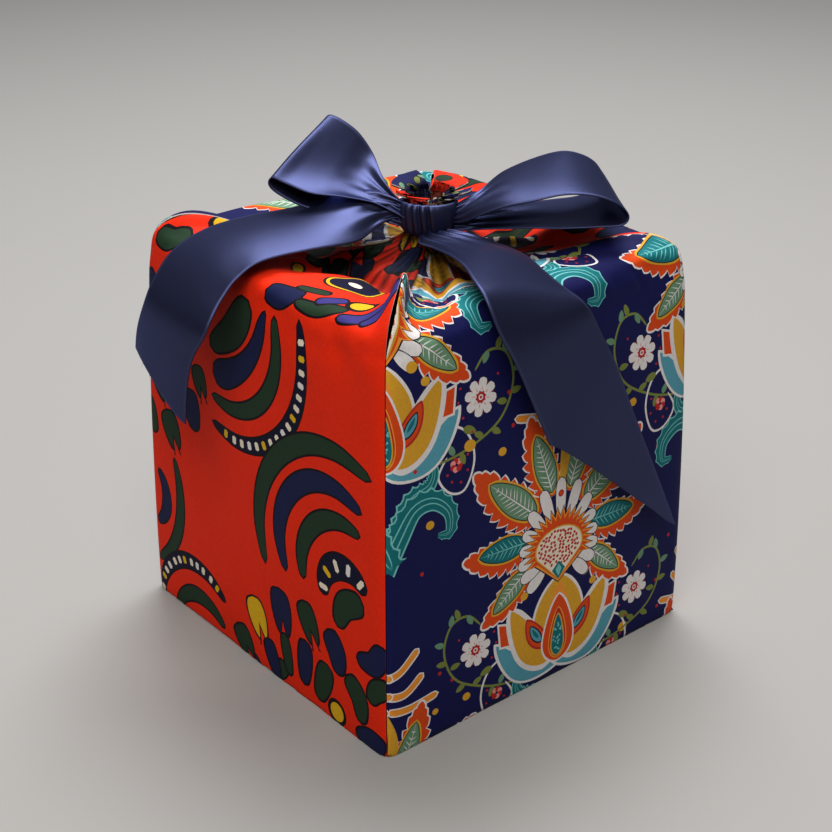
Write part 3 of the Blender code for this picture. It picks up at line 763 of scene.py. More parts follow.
def white_petals():
    shapes = []
    for number in range(WHITE_PETALS):
        way = pointing(radians(222 - 264 * number / (WHITE_PETALS - 1)))
        reach = 20.5 + 10.5 * max(way[1], 0) ** 3
        path = (way * 10, way * (reach * 0.7), way * reach + np.array((0, -0.5)))
        shapes += lined(path, 5.6, drop, "white", "midnight", 0.35, 12)
    return shapes + [("red", disc((0, 24), 1.5, 10)), ("orange", disc((0, 24), 0.9, 8))]


def flame_heart():
    """The flame round a palmette's heart, in three steps, and the heart itself."""
    corners = np.arange(2 * FLAME_TEETH + 1)
    angle = np.radians(np.linspace(208, -28, len(corners)))
    wave = np.where(corners % 2 == 0, FLAME_DIP, FLAME_TIP)
    flame = np.stack((wave * np.cos(angle), wave * 0.92 * np.sin(angle) + 2.0), -1)
    foot = np.array(((0.0, -13.5),))
    steps = (("midnight", 1.05, 1.04), ("flame", 1.0, 1.0), ("orange", 0.90, 0.95))
    shapes = [(colour, np.vstack((flame * size, foot * foot_size))) for colour, size, foot_size in steps]
    heart = np.vstack((arc((0, 1.5), 11.6, 200, -20, 0.72, 16), ((0.0, -12.0),)))
    return shapes + [("gold", heart * 1.06), ("cream", heart)]


def in_heart(x, y):
    """Whether a stipple lies well inside a palmette's heart: in its round top and its pointed foot."""
    in_foot = abs(x) < 10.6 * (1 - max(-y, 0) / 11.5)
    in_top = (x / 11) ** 2 + ((y - 1.5) / 8.0) ** 2 < 0.9
    return in_foot and in_top


def stipples():
    chance = np.random.default_rng(7)
    spots = []
    while len(spots) < STIPPLES:
        spot = chance.uniform((-11, -9), (11, 9))
        if in_heart(*spot) and all(np.hypot(*(spot - other)) > STIPPLE_GAP for other in spots):
            spots.append(spot)
        elif chance.random() < GIVE_UP:
            break
    return [("red", disc(spot, 0.80, 6, 0.75, chance.uniform(0, 180))) for spot in spots]


def palmette():
    """Serrated leaves round a stippled heart with a flame edge and a ring of white petals."""
    shapes = palmette_leaves() + white_petals() + flame_heart() + stipples()
    shapes.append(("teal", np.array(((0, -12.4), (3.4, -8.2), (0, -4.6), (-3.4, -8.2)))))
    shapes.append(("aqua", np.array(((0, -11.2), (1.6, -8.2), (0, -5.8), (-1.6, -8.2)))))
    return shapes


LOTUS_HALF = table("fill points width grow", (  # the left half: strokes, or outlines where no width is given
    ("white", ((3, -13), (-18, -12), (-32.5, 3.5)), 11.0, 0.8),
    ("turquoise", ((3, -13), (-18, -12), (-32, 3)), 10.6),
    ("white", ((-18.5, -0.5), (-30.4, 1.0), (-31.6, 12.4), (-20.5, 9.5))),
    ("orange", ((-19.0, 0.4), (-29.6, 1.8), (-30.6, 11.2), (-20.5, 8.6))),
    ("white", ((-3, -12), (-14.5, -3), (-24.5, 15.5)), 14.0, 1.6),
    ("gold", ((-3, -12), (-14.5, -3), (-24.5, 15.5)), 13.0),
    ("red", ((-6, -6), (-12, 1), (-16.5, 9.5)), 8.8),
    ("orange", ((-6.6, -5.2), (-12, 1), (-16, 8.5)), 7.0),
    ("midnight", ((-8.4, -3.2), (-12, 1.4), (-14.4, 5.8)), 4.8),
    ("turquoise", ((-8.8, -2.6), (-12, 1.4), (-14.2, 5.2)), 3.6),
    ("teal", ((-10, -0.8), (-12, 1.6), (-13.4, 4.0)), 1.6),
), 0.0, 0.0)
LOTUS_MIDDLE = table("fill line points width edge", (
    ("orange", "white", ((0, -14.5), (0.3, -3), (0, 15.5)), 16.0, 0.8),
    ("red", "flame", ((0, -13), (0.2, -4), (0, 9.5)), 8.8, 0.5),
    ("teal", "gold", ((0, -12), (0.2, -5), (0, 6.5)), 6.2, 0.6),
))
LOTUS_SPECKS = 22


def lotus():
    """Pointed gold petals with ringed eyes, a flame between them, orange tips and a turquoise cup."""
    back_petal = ((0, -12), (0, 8), (0, 24))
    shapes = [("white", stroke(back_petal, 25.5, leaf, 1.0)), ("gold", stroke(back_petal, 25.0, leaf))]
    shapes.append(("flame", stroke(((0, 2), (0, 12), (0, 21)), 9.0, leaf)))
    half = []
    for row in LOTUS_HALF:
        outline = stroke(row.points, row.width, leaf, row.grow) if row.width else np.array(row.points)
        half.append((row.fill, outline))
    shapes += both_ways(half)
    for row in LOTUS_MIDDLE:
        shapes += lined(row.points, row.width, leaf, row.fill, row.line, row.edge)
    chance = np.random.default_rng(3)
    for _ in range(LOTUS_SPECKS):
        share = chance.uniform(0.12, 0.85)
        spot = np.array((chance.uniform(-1, 1) * 2.4 * leaf(np.array(share)), -12 + 18.5 * share))
        shapes.append(("aqua", disc(spot, 0.5, 5)))
    return shapes


def small_leaf(at, heading, length=5.0, fill="olive"):
    path = (np.array(at), np.array(at) + pointing(radians(heading)) * length)
    return fill, stroke(path, length * 0.55, leaf, 0.0, 8)


def white_flower(at):
    """Eight white petals round a red centre, on a dark red ground."""
    shapes = [("wine", disc(at, 6.4, 16))]
    for number in range(8):
        way = pointing(radians(45 * number + 12))
        shapes.append(("white", stroke((at + way * 1.9, at + way * 7.3), 3.9, drop, 0.0, 9)))
        shapes.append(("pink", stroke((at + way * 2.4, at + way * 4.2), 0.7, thinning, 0.0, 4)))
    return shapes + [("red", disc(at, 2.1, 12)), ("white", disc(at, 1.1, 8)), ("red", disc(at, 0.6, 6))]


def vine():
    """The left vine of a lotus: a stem that curls round a white flower."""
    shapes = [("olive", stroke(VINE_STEM, 1.0, samples=44))]
    for x, y, heading in VINE_LEAVES:
        shapes.append(small_leaf((x, y), heading, 4.8, "olive" if heading % 20 else "leaf"))
    shapes += white_flower(np.array((-42.0, 4.0)))
    return shapes + dots("red", ((-33, 9), (-32, 4), (-34, -2), (-38, -8), (-50, 11), (-36, 13)), 0.55)


def fringed(path, width, samples=46):
    """A tapering scroll with small points along one side."""
    line = curve(path, samples)
    side = left_of(unit(np.gradient(line, axis=0)))
    half = width / 2 * (1.02 - np.linspace(0, 1, samples)) ** 0.55
    tooth = np.where(np.arange(samples) % 3 == 0, 1.32, 1.0)
    return band(line, side, half * tooth, half)


def curl():
    """A white tendril round a pink floret, and a teal acanthus scroll, to the right below a lotus."""
    shapes = [
        ("white", stroke(TENDRIL, 0.9, samples=44)),
        small_leaf((24, -10), -60, 6.0, "leaf"),
        small_leaf((34, -12), -20, 6.0),
    ]
    centre = np.array((31.0, -25.0))
    for number in range(7):
        shapes.append(("pink" if number % 2 else "red", disc(centre + pointing(0.9 * number) * 1.7, 1.25, 7)))
    shapes += dots("red", ((29, -31), (33, -32), (36, -28), (27, -28), (36, -22)), 0.6, 5)
    for path, width in SCROLLS:
        shapes += [("aqua", fringed(path, width + 1.6)), ("teal", fringed(path, width))]
        shapes += [("aqua", stroke(path, width * 0.42, thinning, 0.0, 26))]
        shapes += [("teal", stroke(path, width * 0.26, thinning, 0.0, 26))]
    return shapes


def navy_motif():
    """One repeat of the print, with its palmette's heart at the origin."""
    shapes = []
    for mirror in (False, True):
        shapes += moved(vine(), (1, -34), mirror)
        shapes += moved(curl(), (1, -28), mirror)
        for path in FINGERS:
            shapes += moved(lined(path, 2.6, rounded, "flame", "white", 0.55, 14), mirror=mirror)
    shapes += moved(lotus(), (1, -35))
    shapes += palmette()
    shapes += [("gold", disc((x, y), radius, 12, 0.9)) for x, y, radius in GOLD_DOTS]
    return shapes + dots("red", RED_DOTS, 0.9)


def reaches(outline, shape):
    """Whether an outline lies at least partly on a sheet."""
    low, high = outline.min(0), outline.max(0)
    lengths = np.clip((low[1], (low[1] + high[1]) / 2, high[1]), shape.bottom, shape.top)
    reach = float(np.max(shape.edge(lengths)))
    return high[1] > shape.bottom and low[1] < shape.top and low[0] < reach and high[0] > -reach


def repeated(motif, origin, repeat, shape, half_drop=False):
    """All of a motif's repeats that reach a sheet. In half-drop they run aslant and shift on the flap."""
    first = int(np.floor((shape.bottom - REACH - origin[1]) / repeat[1])) - 1
    last = int(np.ceil((shape.top + REACH - origin[1]) / repeat[1])) + 1
    steps = [
        (column + half, row + half)
        for row in range(first, last + 1)
        for column in range(-2, 3)
        for half in ((0, 0.5) if half_drop else (0,))
    ]
    shapes = []
    for step in steps:
        offset = np.array(origin) + np.array(repeat) * step
        if half_drop and offset[1] > FLAP_ROW:
            offset = offset + FLAP_SHIFT
        for colour, outline in motif:
            placed = outline + offset
            if half_drop:
                placed[:, 1] += NAVY_SHEAR * (placed[:, 0] - origin[0])
            if reaches(placed, shape):
                shapes.append((colour, placed))
    return shapes


# What shows on the tuft: colour, middle across and below its edge, half length, half height and slant.
PATCH_COLUMNS = "fill across below length height slant"
RED_TUFT = table(PATCH_COLUMNS, (
    ("bottle", 3.0, 2.6, 3.0, 1.3, -12),
    ("yellow", 8.6, 4.6, 2.3, 1.25, -8),
    ("ink", -4.5, 5.4, 2.6, 1.2),
    ("ink", 2.5, 8.0, 2.8, 1.3, 8),
    ("bottle", -9.0, 3.0, 2.4, 1.2, 10),
    ("cream", 11.0, 1.6, 0.7, 0.6),
    ("yellow", 10.5, 8.0, 1.2, 0.7),
), 0)
NAVY_TUFT = table(PATCH_COLUMNS, (
    ("leaf", 7.0, 3.0, 2.0, 0.9, 30),
    ("olive", 3.2, 3.4, 1.8, 0.8, -35),
    ("leaf", 4.8, 7.4, 2.0, 0.9, 20),
    ("olive", -1.0, 5.0, 1.8, 0.8, 40),
    ("leaf", -5.0, 3.0, 2.0, 0.9, -20),
    ("white", 10.4, 4.8, 1.4, 1.2),
    ("pink", 10.4, 4.8, 0.5, 0.5),
    ("white", 7.6, 6.9, 1.3, 1.1),
    ("red", 7.6, 6.9, 0.45, 0.45),
    ("white", 10.6, 8.8, 1.2, 1.0),
    ("flame", 9.4, 1.8, 0.7, 0.6),
    ("white", -8.0, 6.0, 1.3, 1.1),
), 0)
TUFT_HALF, TUFT_PAST = 20.0, 9.0  # half width of a tuft's plain ground, and how far it goes past the edge
OUTLINED, OUTLINE = 1.5, 0.35  # patches longer than this have a dark line, and its width


def tuft_print(ground, patches, hems):
    """Plain ground over each end of a sheet's cloth above the neck, with small patches of its print."""
    shapes = []
    for hem, inward in hems:
        low, high = hem + inward * (SIDE_LENGTH - NECK_LENGTH), hem - TUFT_PAST * inward
        corners = ((-TUFT_HALF, low), (TUFT_HALF, low), (TUFT_HALF, high), (-TUFT_HALF, high))
        shapes.append((ground, np.array(corners)))
        for patch in patches:
            centre = np.array((patch.across, hem + inward * patch.below))
            squash = patch.height / patch.length
            if patch.length > OUTLINED:
                shapes.append(("black", disc(centre, patch.length + OUTLINE, 14, squash, patch.slant)))
            shapes.append((patch.fill, disc(centre, patch.length, 14, squash, patch.slant)))
    return shapes


# Cutting a print into a sheet. The sheet's own points are this far apart on the walls, over the top and at
# the neck, where a side's length from its hem passes the two limits.
COARSE, MEDIUM, FINE = 2.4, 1.5, 0.8
RIM_FROM, NECK_FROM = 138.0, 214.0
REVERSE_SCALE = 1.5  # how much wider apart the points of the reverse are


def spacing_at(shape, length):
    up = float(shape.height_up(np.array(length)))
    return FINE if up > NECK_FROM else MEDIUM if up > RIM_FROM else COARSE


def border(shape):
    """The sheet's flat outline, counter-clockwise."""
    lengths = [shape.bottom]
    while lengths[-1] < shape.top - 0.5:
        lengths.append(min(lengths[-1] + spacing_at(shape, lengths[-1]), shape.top))
    lengths = np.array(lengths)
    reach = shape.edge(lengths)
    ends = []
    for length, sign in ((shape.bottom, 1), (shape.top, -1)):
        width = float(shape.edge(np.array(length)))
        across = np.linspace(-width, width, 12)[1:-1] * sign
        ends.append(np.stack((across, np.full(len(across), length)), -1))
    right = np.stack((reach, lengths), -1)
    left = np.stack((-reach, lengths), -1)[::-1]
    return np.vstack((ends[0], right, ends[1], left))


def inner_points(shape, scale=1.0):
    """The sheet's own points, in rows, inside its outline."""
    rows, length = [], shape.bottom
    while True:
        step = spacing_at(shape, length) * scale
        length += step
        if length > shape.top - step * 0.5:
            return np.vstack(rows)
        reach = float(shape.edge(np.array(length))) - step * 0.6
        across = np.linspace(-reach, reach, max(2, int(2 * reach / step)))
        rows.append(np.stack((across, np.full(len(across), length)), -1))


def cut(points, outlines):
    """Triangles over flat points, with outlines cut in.

    Gives the points, the triangles that lie in the first outline, and for each of these the number of the
    topmost outline over it.
    """
    vertices = [Vector(point) for point in points]
    faces = []
    for outline in outlines:
        x, y = outline.T
        area = np.sum(x * np.roll(y, -1) - np.roll(x, -1) * y)
        faces.append(list(range(len(vertices), len(vertices) + len(outline))))
        vertices += [Vector(point) for point in (outline if area > 0 else outline[::-1])]
    made = delaunay_2d_cdt(vertices, [], faces, 0, 1e-4, True)
    owners = made[5]
    kept = [number for number, over in enumerate(owners) if 0 in over]
    tops = [max(owners[number]) for number in kept]
    return np.array([tuple(point) for point in made[0]]), np.array(made[2])[kept], tops


def loop_of(triangles):
    """The border of a set of triangles, as one ordered loop of points."""
    edges = np.vstack((triangles[:, :2], triangles[:, 1:], triangles[:, ::2][:, ::-1]))
    known = {tuple(edge) for edge in edges.tolist()}
    after = {a: b for a, b in known if (b, a) not in known}
    start = next(iter(after))
    loop, here = [start], after[start]
    while here != start:
        loop.append(here)
        here = after[here]
    return np.array(loop)


def rim_faces(loop, back_loop):
    """Triangles between the borders of a sheet's two sides."""
    after, back_after = np.roll(loop, -1), np.roll(back_loop, -1)
    halves = ((loop, back_loop, after), (after, back_loop, back_after))
    return np.vstack([np.stack(half, -1) for half in halves])


def printed_sheet(name, shape, ground, reverse, shapes):
    """One closed sheet: its printed outer side, its reverse and its rim.

    The reverse is plain, but for the tuft's leaves, which are of doubled cloth and show the print on both.
    """
    outlines = [border(shape)] + [outline for _, outline in shapes]
    colours = [ground] + [colour for colour, _ in shapes]
    flat, triangles, tops = cut(inner_points(shape), outlines)
    used, triangles = np.unique(triangles, return_inverse=True)
    flat, triangles = flat[used], triangles.reshape(-1, 3)
    loop = loop_of(triangles)

    def up(points):
        return shape.height_up(points[..., 1])

    on_tuft = [n for n in range(1, len(outlines)) if up(outlines[n]).max() > NECK_LENGTH]
    back_outlines = [flat[loop]] + [outlines[n] for n in on_tuft]
    back_flat, back_triangles, back_tops = cut(inner_points(shape, REVERSE_SCALE), back_outlines)
    doubled = up(back_flat[back_triangles].mean(1)) > NECK_LENGTH
    back_colours = [colours[n] for n in [0] + on_tuft]
    tints = [colours[top] for top in tops]
    tints += [back_colours[top] if both else reverse for top, both in zip(back_tops, doubled)]
    places = {tuple(np.round(point, 4)): n for n, point in enumerate(back_flat)}
    back_loop = np.array([places[tuple(np.round(point, 4))] for point in flat[loop]]) + len(flat)

    points = np.vstack((shape.points(flat), shape.points(back_flat) + shape.through(back_flat)))
    points[:, 2] = np.maximum(points[:, 2], 0.0)
    faces = np.vstack((triangles, back_triangles[:, ::-1] + len(flat), rim_faces(loop, back_loop)))
    level = level_at(up(flat[loop]))
    pale = (level > PALE_EDGES[0]) & (level < PALE_EDGES[1]) | (level > NECK_TOP)
    tints += ["selvedge" if light else reverse for light in pale] * 2
    both = np.vstack((flat, back_flat))
    normals = np.vstack((flat_normals(shape, flat), -flat_normals(shape, back_flat)))
    piece = shown_mesh(name, points, faces.tolist(), both * MM)
    paint(piece.data, faces, tints, painted_shade(shape, both))
    piece.data.normals_split_custom_set_from_vertices(normals.tolist())
    return piece


def flat_normals(shape, flat, step=0.5):
    """Outward directions at flat points, from the surface a step to each side."""
    across = shape.points(flat + (step, 0)) - shape.points(flat - (step, 0))
    limits = np.clip(flat[:, 1], shape.bottom + step, shape.top - step)
    middle = np.stack((flat[:, 0], limits), -1)
    along = shape.points(middle + (0, step)) - shape.points(middle - (0, step))
    return unit(np.cross(across, along))


def painted_shade(shape, flat):
    """Painted shade at flat points, as a factor on the cloth's colours: darker in a ring round the neck, for
    the shade between packed pleats and under the bow, and varying over each pleat.
    """
    level = level_at(shape.height_up(flat[:, 1]))
    hidden = PAINTED_SHADE_MEAN - PAINTED_SHADE_SWING * np.cos(GATHERS * np.pi / 4 * flat[:, 0] / half_at(level))
    return 1 - PAINTED_SHADE * hidden * between(PAINTED_SHADE_ROWS, level)


def paint(mesh, faces, tints, shade):
    """Colours each triangle, dimmed by the painted shade at its corners."""
    # The colour attribute holds the print together with the painted shade.
    layer = mesh.color_attributes.new("print", "FLOAT_COLOR", "CORNER")
    palette = {key: np.append(linear(rgb), 1.0) for key, rgb in COLOURS.items()}
    corner = np.repeat(np.array([palette[tint] for tint in tints]), 3, axis=0)
    corner[:, :3] *= shade[faces.ravel()][:, None]
    layer.data.foreach_set("color", corner.ravel())


def shown_mesh(name, points, faces, flat=None):
    """A smooth piece in the scene, with its flat coordinates in metres where it is of cloth."""
    mesh = bpy.data.meshes.new(name)
    mesh.from_pydata(np.asarray(points).tolist(), [], faces)
    if flat is not None:
        corners = [corner for face in faces for corner in face]
        mesh.uv_layers.new(name="cloth").data.foreach_set("uv", flat[corners].ravel())
    mesh.shade_smooth()
    piece = bpy.data.objects.new(name, mesh)
    bpy.context.scene.collection.objects.link(piece)
    return piece


# The ribbon, as in the CAD part: the middle of each section (mm), how much of the width is spread out, the
# heading and climb of its width direction in degrees, and how far its middle bulges (mm). The loops are
# drawn along the bow, back from its front, and up.
STRIP_COLUMNS = "x y z spread heading climb bulge"
RIGHT_LOOP = table(STRIP_COLUMNS, (
    (13.5, -6.6, 170.0, 0.16, 90, 60),
    (18.0, -6.8, 171.4, 0.24, 90, 35, 0.4),
    (24.0, -5.8, 174.0, 0.42, 88, 14, 1.4),
    (33.0, -1.5, 178.0, 0.82, 86, 7, 2.2),
    (44.0, 0.0, 181.2, 1.00, 86, 6, 1.8),
    (55.0, 0.0, 183.8, 1.00, 88, 7, 1.0),
    (64.0, 0.0, 183.0, 1.00, 93, 6, 0.4),
    (71.0, 0.0, 179.8, 1.00, 97, 5),
    (74.5, 1.0, 174.8, 1.00, 99, 4),
    (72.8, 1.0, 170.5, 1.00, 98, 2),
    (65.0, 1.0, 168.6, 1.00, 96, -1),
    (55.0, 1.0, 167.7, 0.97, 92, -2, 0.6),
    (41.0, 0.0, 167.2, 0.74, 90, 0, 1.0),
    (27.0, -3.0, 166.8, 0.42, 90, 10, 0.6),
    (19.0, -5.5, 166.8, 0.24, 90, 30),
    (13.5, -6.2, 167.0, 0.16, 90, 50),
), 0.0)
LEFT_LOOP = table(STRIP_COLUMNS, (
    (-2.0, -6.6, 170.5, 0.16, 90, 60),
    (-7.0, -3.6, 173.0, 0.21, 85, 40, 0.4),
    (-13.0, 1.4, 176.6, 0.40, 76, 22, 1.4),
    (-20.5, 7.2, 180.6, 0.76, 68, 18, 2.4),
    (-29.0, 8.5, 185.0, 0.97, 61, 23, 2.2),
    (-37.0, 10.5, 188.8, 1.00, 56, 25, 1.2),
    (-42.0, 12.0, 190.3, 1.00, 55, 24),
    (-43.2, 13.0, 187.0, 1.00, 55, 24),
    (-39.5, 13.0, 183.2, 1.00, 56, 24, -0.6),
    (-31.5, 12.0, 178.0, 0.95, 60, 22, -1.4),
    (-21.5, 7.0, 173.0, 0.68, 70, 16, -1.4),
    (-11.0, -1.0, 170.0, 0.34, 80, 20, -0.6),
    (-6.5, -4.5, 169.0, 0.21, 85, 40),
    (-2.2, -6.2, 168.0, 0.16, 90, 60),
), 0.0)
# The tails are drawn in the bag's own axes.
LEFT_TAIL = table(STRIP_COLUMNS, (
    (1.1, -5.4, 170.8, 0.16, 140, 75),
    (-3.0, -9.2, 171.6, 0.26, 145, 56, -0.6),
    (-6.4, -13.8, 171.2, 0.46, 147, 36, -1.4),
    (-8.8, -22.8, 169.6, 0.80, 148, 18, -2.4),
    (-13.8, -40.0, 168.0, 1.00, 149, 6, -2.4),
    (-18.0, -59.0, 167.2, 1.00, 151, 6, -1.8),
    (-19.5, -73.0, 164.2, 1.00, 163, 9, -1.4),
    (-19.0, -83.5, 159.2, 1.00, 174, 10, -1.2),
    (-17.5, -91.0, 152.5, 1.00, 178, 7, -1.2),
    (-18.5, -94.5, 145.0, 1.00, 180, 3, -1.2),
    (-25.5, -95.0, 133.0, 0.97, 180, 0, -1.4),
    (-29.5, -95.0, 119.5, 0.92, 180, 0, -1.6),
    (-31.5, -95.0, 105.5, 0.89, 180, 0, -1.6),
), 0.0)
RIGHT_TAIL = table(STRIP_COLUMNS, (
    (11.6, -2.4, 165.5, 0.21, 85, 20),
    (15.5, -3.6, 164.5, 0.34, 85, 11, 0.4),
    (24.0, -1.5, 164.2, 0.45, 86, 5, 1.0),
    (35.0, -1.2, 164.2, 0.66, 94, -5, 1.8),
    (50.0, -4.8, 165.2, 0.92, 98, -10, 2.2),
    (65.0, -11.2, 165.2, 1.00, 95, -11, 1.4),
    (75.5, -14.0, 163.0, 1.00, 92, -8, 1.0),
    (81.5, -12.5, 156.5, 1.00, 90, 3, 0.8),
    (83.8, -8.0, 148.0, 0.97, 90, 14, 0.8),
    (84.0, -2.0, 136.5, 0.97, 90, 22, 1.0),
    (84.0, 4.5, 124.5, 0.99, 90, 27, 1.2),
    (84.0, 10.5, 112.5, 1.00, 90, 28, 1.2),
    (83.8, 19.0, 95.5, 1.00, 90, 27, 1.2),
    (83.8, 28.5, 76.5, 1.00, 91, 27, 1.0),
    (84.0, 38.0, 57.5, 1.00, 92, 27, 0.6),
    (84.2, 47.0, 39.5, 1.00, 93, 27),
), 0.0)
LEFT_TAIL_SKEW, RIGHT_TAIL_SKEW = -0.020, 0.086  # how much longer one side of a tail is cut
SLANT_REACH = 1.25  # over how much of the skew the rows close up
RIBBON_ROWS = 8  # rows of faces between two sections
RIBBON_COLUMNS = 33
PLEAT_DEPTH = 0.0013  # of the ribbon's gathers where it runs into the knot
PLEATS = 3.5
PLEAT_FADE = 3.2  # sections over which they fade
PLEATED_UNDER = 0.9  # spread below which there are some
RIBBON_WAVE = 0.00022

# The turn round the neck, at its rear and at its front, where it is thickened into the knot.
Turn = namedtuple("Turn", "inner outer bottom top")
TURN_REAR = Turn(0.0086, 0.0100, 0.1660, 0.1735)
TURN_FRONT = Turn(0.0087, 0.0124, 0.1622, 0.1750)
TURN_SIDES = 240
TURN_POINTS = 22
KNOT_NARROWING = 1.5
KNOT_PLEATS = 22
KNOT_PLEAT_DEPTH = 0.0016
KNOT_BAND = 0.0007  # how far the smooth band on the knot's right stands out over its pleats
BAND_FROM, BAND_TO = (0.10, 0.22), (1.0, 1.4)  # angles over which the band begins and ends
THREADS = 26  # loose ones at a cut end
THREAD_LENGTHS = (0.0006, 0.0030)
THREAD_WIDTH = 0.00009
THREAD_ROOT = 0.0006  # how far a thread reaches back into the ribbon


def middle_and_way(strip, level):
    """Middle, width direction, spread and bulge of sections of ribbon."""
    x, y, z, spread, heading, climb, bulge = np.moveaxis(smooth(strip, level), -1, 0)
    heading, climb = np.radians(heading), np.radians(climb)
    way = np.stack((np.cos(climb) * np.cos(heading), np.cos(climb) * np.sin(heading), np.sin(climb)), -1)
    return np.stack((x, y, z), -1) * MM, way, spread, bulge * MM


def slanted(level, share, last, skew_rows):
    """Where a cut slanted by skew_rows rows brings a level: its short side ends early, the rest closes up."""
    start = last - SLANT_REACH * abs(skew_rows)
    short = abs(skew_rows) * (0.5 - share if skew_rows > 0 else 0.5 + share)
    cut = start + (level - start) * (last - short - start) / (last - start)
    return np.where(level > start, cut, level)


def ribbon_grid(strip, turn, skew, pleated_ends):
    """Points of the ribbon's two sides, a row for each step along it."""
    last = len(strip) - 1
    along = np.linspace(0, last, last * RIBBON_ROWS + 1)
    level, share = np.meshgrid(along, np.linspace(-0.5, 0.5, RIBBON_COLUMNS), indexing="ij")
    if skew:
        ends = middle_and_way(strip, np.array((last - 1.0, last)))[0]
        level = slanted(level, share, last, skew / np.linalg.norm(ends[1] - ends[0]))
    middle, way, spread, bulge = middle_and_way(strip, level)
    ahead = middle_and_way(strip, np.minimum(level + LEVEL_STEP, last))[0]
    behind = middle_and_way(strip, np.maximum(level - LEVEL_STEP, 0))[0]
    off = unit(np.cross(ahead - behind, way))
    tight = np.clip((PLEATED_UNDER - spread) / 0.6, 0, 1)
    fade = np.exp(-level / PLEAT_FADE) + (pleated_ends - 1) * np.exp((level - last) / PLEAT_FADE)
    pleats = np.cos(2 * np.pi * PLEATS * share + 0.6 * level) * fade
    lift = bulge * (1 - (2 * share) ** 2) + PLEAT_DEPTH * tight**0.8 * (1 - 0.5 * tight) * pleats
    lift = lift + RIBBON_WAVE * np.sin(1.3 * level + 5 * share) * np.sin(0.7 * level - 2 * share)
    points = middle + way * (RIBBON_WIDTH * spread * share)[..., None] + off * lift[..., None]
    sides = [points + off * RIBBON * sign for sign in (-0.5, 0.5)]
    return [np.concatenate((turned(side[..., :2], turn), side[..., 2:]), -1) for side in sides]


def ribbon_strip(strip, turn=0.0, skew=0.0, pleated_ends=1):
    """Points, faces, flat coordinates and length of one closed stretch of ribbon."""
    upper, lower = ribbon_grid(strip, turn, skew, pleated_ends)
    rows, columns = upper.shape[:2]
    around = 2 * columns
    at = np.arange(rows * around).reshape(rows, around)
    beside = np.roll(at, -1, 1)
    faces = np.stack((at[:-1], at[1:], beside[1:], beside[:-1]), -1).reshape(-1, 4).tolist()
    for row, step in ((0, 1), (rows - 1, -1)):
        for column in range(columns - 1):
            near, far = at[row, column : column + 2], at[row, around - 2 - column : around - column]
            faces.append(np.concatenate((near, far))[::step].tolist())
    steps = np.linalg.norm(np.diff(upper[:, columns // 2], axis=0), axis=1)
    run = np.concatenate(([0.0], np.cumsum(steps)))
    across = np.concatenate((np.linspace(0, 1, columns), np.linspace(1, 0, columns))) * RIBBON_WIDTH
    flat = np.stack(np.broadcast_arrays(across[None, :], run[:, None]), -1)
    points = np.concatenate((upper, lower[:, ::-1]), 1)
    return points.reshape(-1, 3), faces, flat.reshape(-1, 2), run[-1]


def loose_threads(strip, skew):
    """Short threads that stand out of a tail's cut end, in the form of a stretch of ribbon."""
    upper, lower = ribbon_grid(strip, 0.0, skew, 1)
    ends, before = (upper[-1] + lower[-1]) / 2, (upper[-2] + lower[-2]) / 2
    off = unit(upper[-1] - lower[-1])
    chance = np.random.default_rng(11)
    points, faces = [], []
    for place in chance.uniform(0, RIBBON_COLUMNS - 1, THREADS):
        column = int(place)
        along = unit(ends[column] - before[column])
        across = unit(ends[min(column + 1, RIBBON_COLUMNS - 1)] - ends[max(column - 1, 0)])
        way = unit(along + across * chance.uniform(-0.9, 0.9) + off[column] * chance.uniform(-0.1, 0.5))
        tip = ends[column] + way * chance.uniform(*THREAD_LENGTHS)
        root = ends[column] - along * THREAD_ROOT
        side = unit(np.cross(way, off[column])) * THREAD_WIDTH
        first = len(points)
        points += [root - side, root + side, root + off[column] * THREAD_WIDTH, tip]
        for corners in ((0, 1, 3), (1, 2, 3), (2, 0, 3), (0, 2, 1)):
            faces.append([first + corner for corner in corners])
    return np.array(points), faces, np.zeros((len(points), 2)), 0.0


def neck_turn():
    """The ribbon's pleated turn round the neck, thickened at its front into the knot."""
    angle, step = np.meshgrid(
        np.linspace(0, 2 * np.pi, TURN_SIDES, endpoint=False),
        np.linspace(0, 1, TURN_POINTS, endpoint=False),
        indexing="ij",
    )
    share = ((1 + np.cos(angle)) / 2) ** KNOT_NARROWING
    sizes = zip(TURN_REAR, TURN_FRONT)
    inner, outer, bottom, top = (rear + (front - rear) * share for rear, front in sizes)
    round_way = 2 * np.pi * step
    out = 0.5 - 0.5 * np.cos(round_way)
    rise = 0.5 - 0.5 * np.sign(np.sin(round_way)) * np.abs(np.sin(round_way)) ** 0.8
    slant = 0.9 * (rise - 0.5)
    sideways = (angle + np.pi) % (2 * np.pi) - np.pi
    band_share = eased(*BAND_FROM, sideways + 0.25 * slant) * (1 - eased(*BAND_TO, sideways))
    pleat = 1.3 * np.abs(np.sin(KNOT_PLEATS / 2 * angle + slant * 1.8)) ** 0.7 - 0.65
    pleat = KNOT_PLEAT_DEPTH * pleat * (1 - 0.92 * band_share) + KNOT_BAND * band_share
    radius = inner + (outer - inner) * out ** (0.7 + 0.35 * share) + share * out * pleat
    around = BOW_TURN - radians(90) + angle
    plan = np.stack((np.cos(around), np.sin(around)), -1) * radius[..., None] + NECK_SHIFT
    points = np.concatenate((plan, (bottom + (top - bottom) * rise)[..., None]), -1)
    at = np.arange(TURN_SIDES * TURN_POINTS).reshape(TURN_SIDES, TURN_POINTS)
    there = np.roll(at, -1, 0)
    faces = np.stack((at, np.roll(at, -1, 1), np.roll(there, -1, 1), there), -1).reshape(-1, 4).tolist()
    flat = np.stack((rise * RIBBON_WIDTH, angle * TURN_REAR.outer), -1)
    return points.reshape(-1, 3), faces, flat.reshape(-1, 2), 2 * np.pi * TURN_REAR.outer


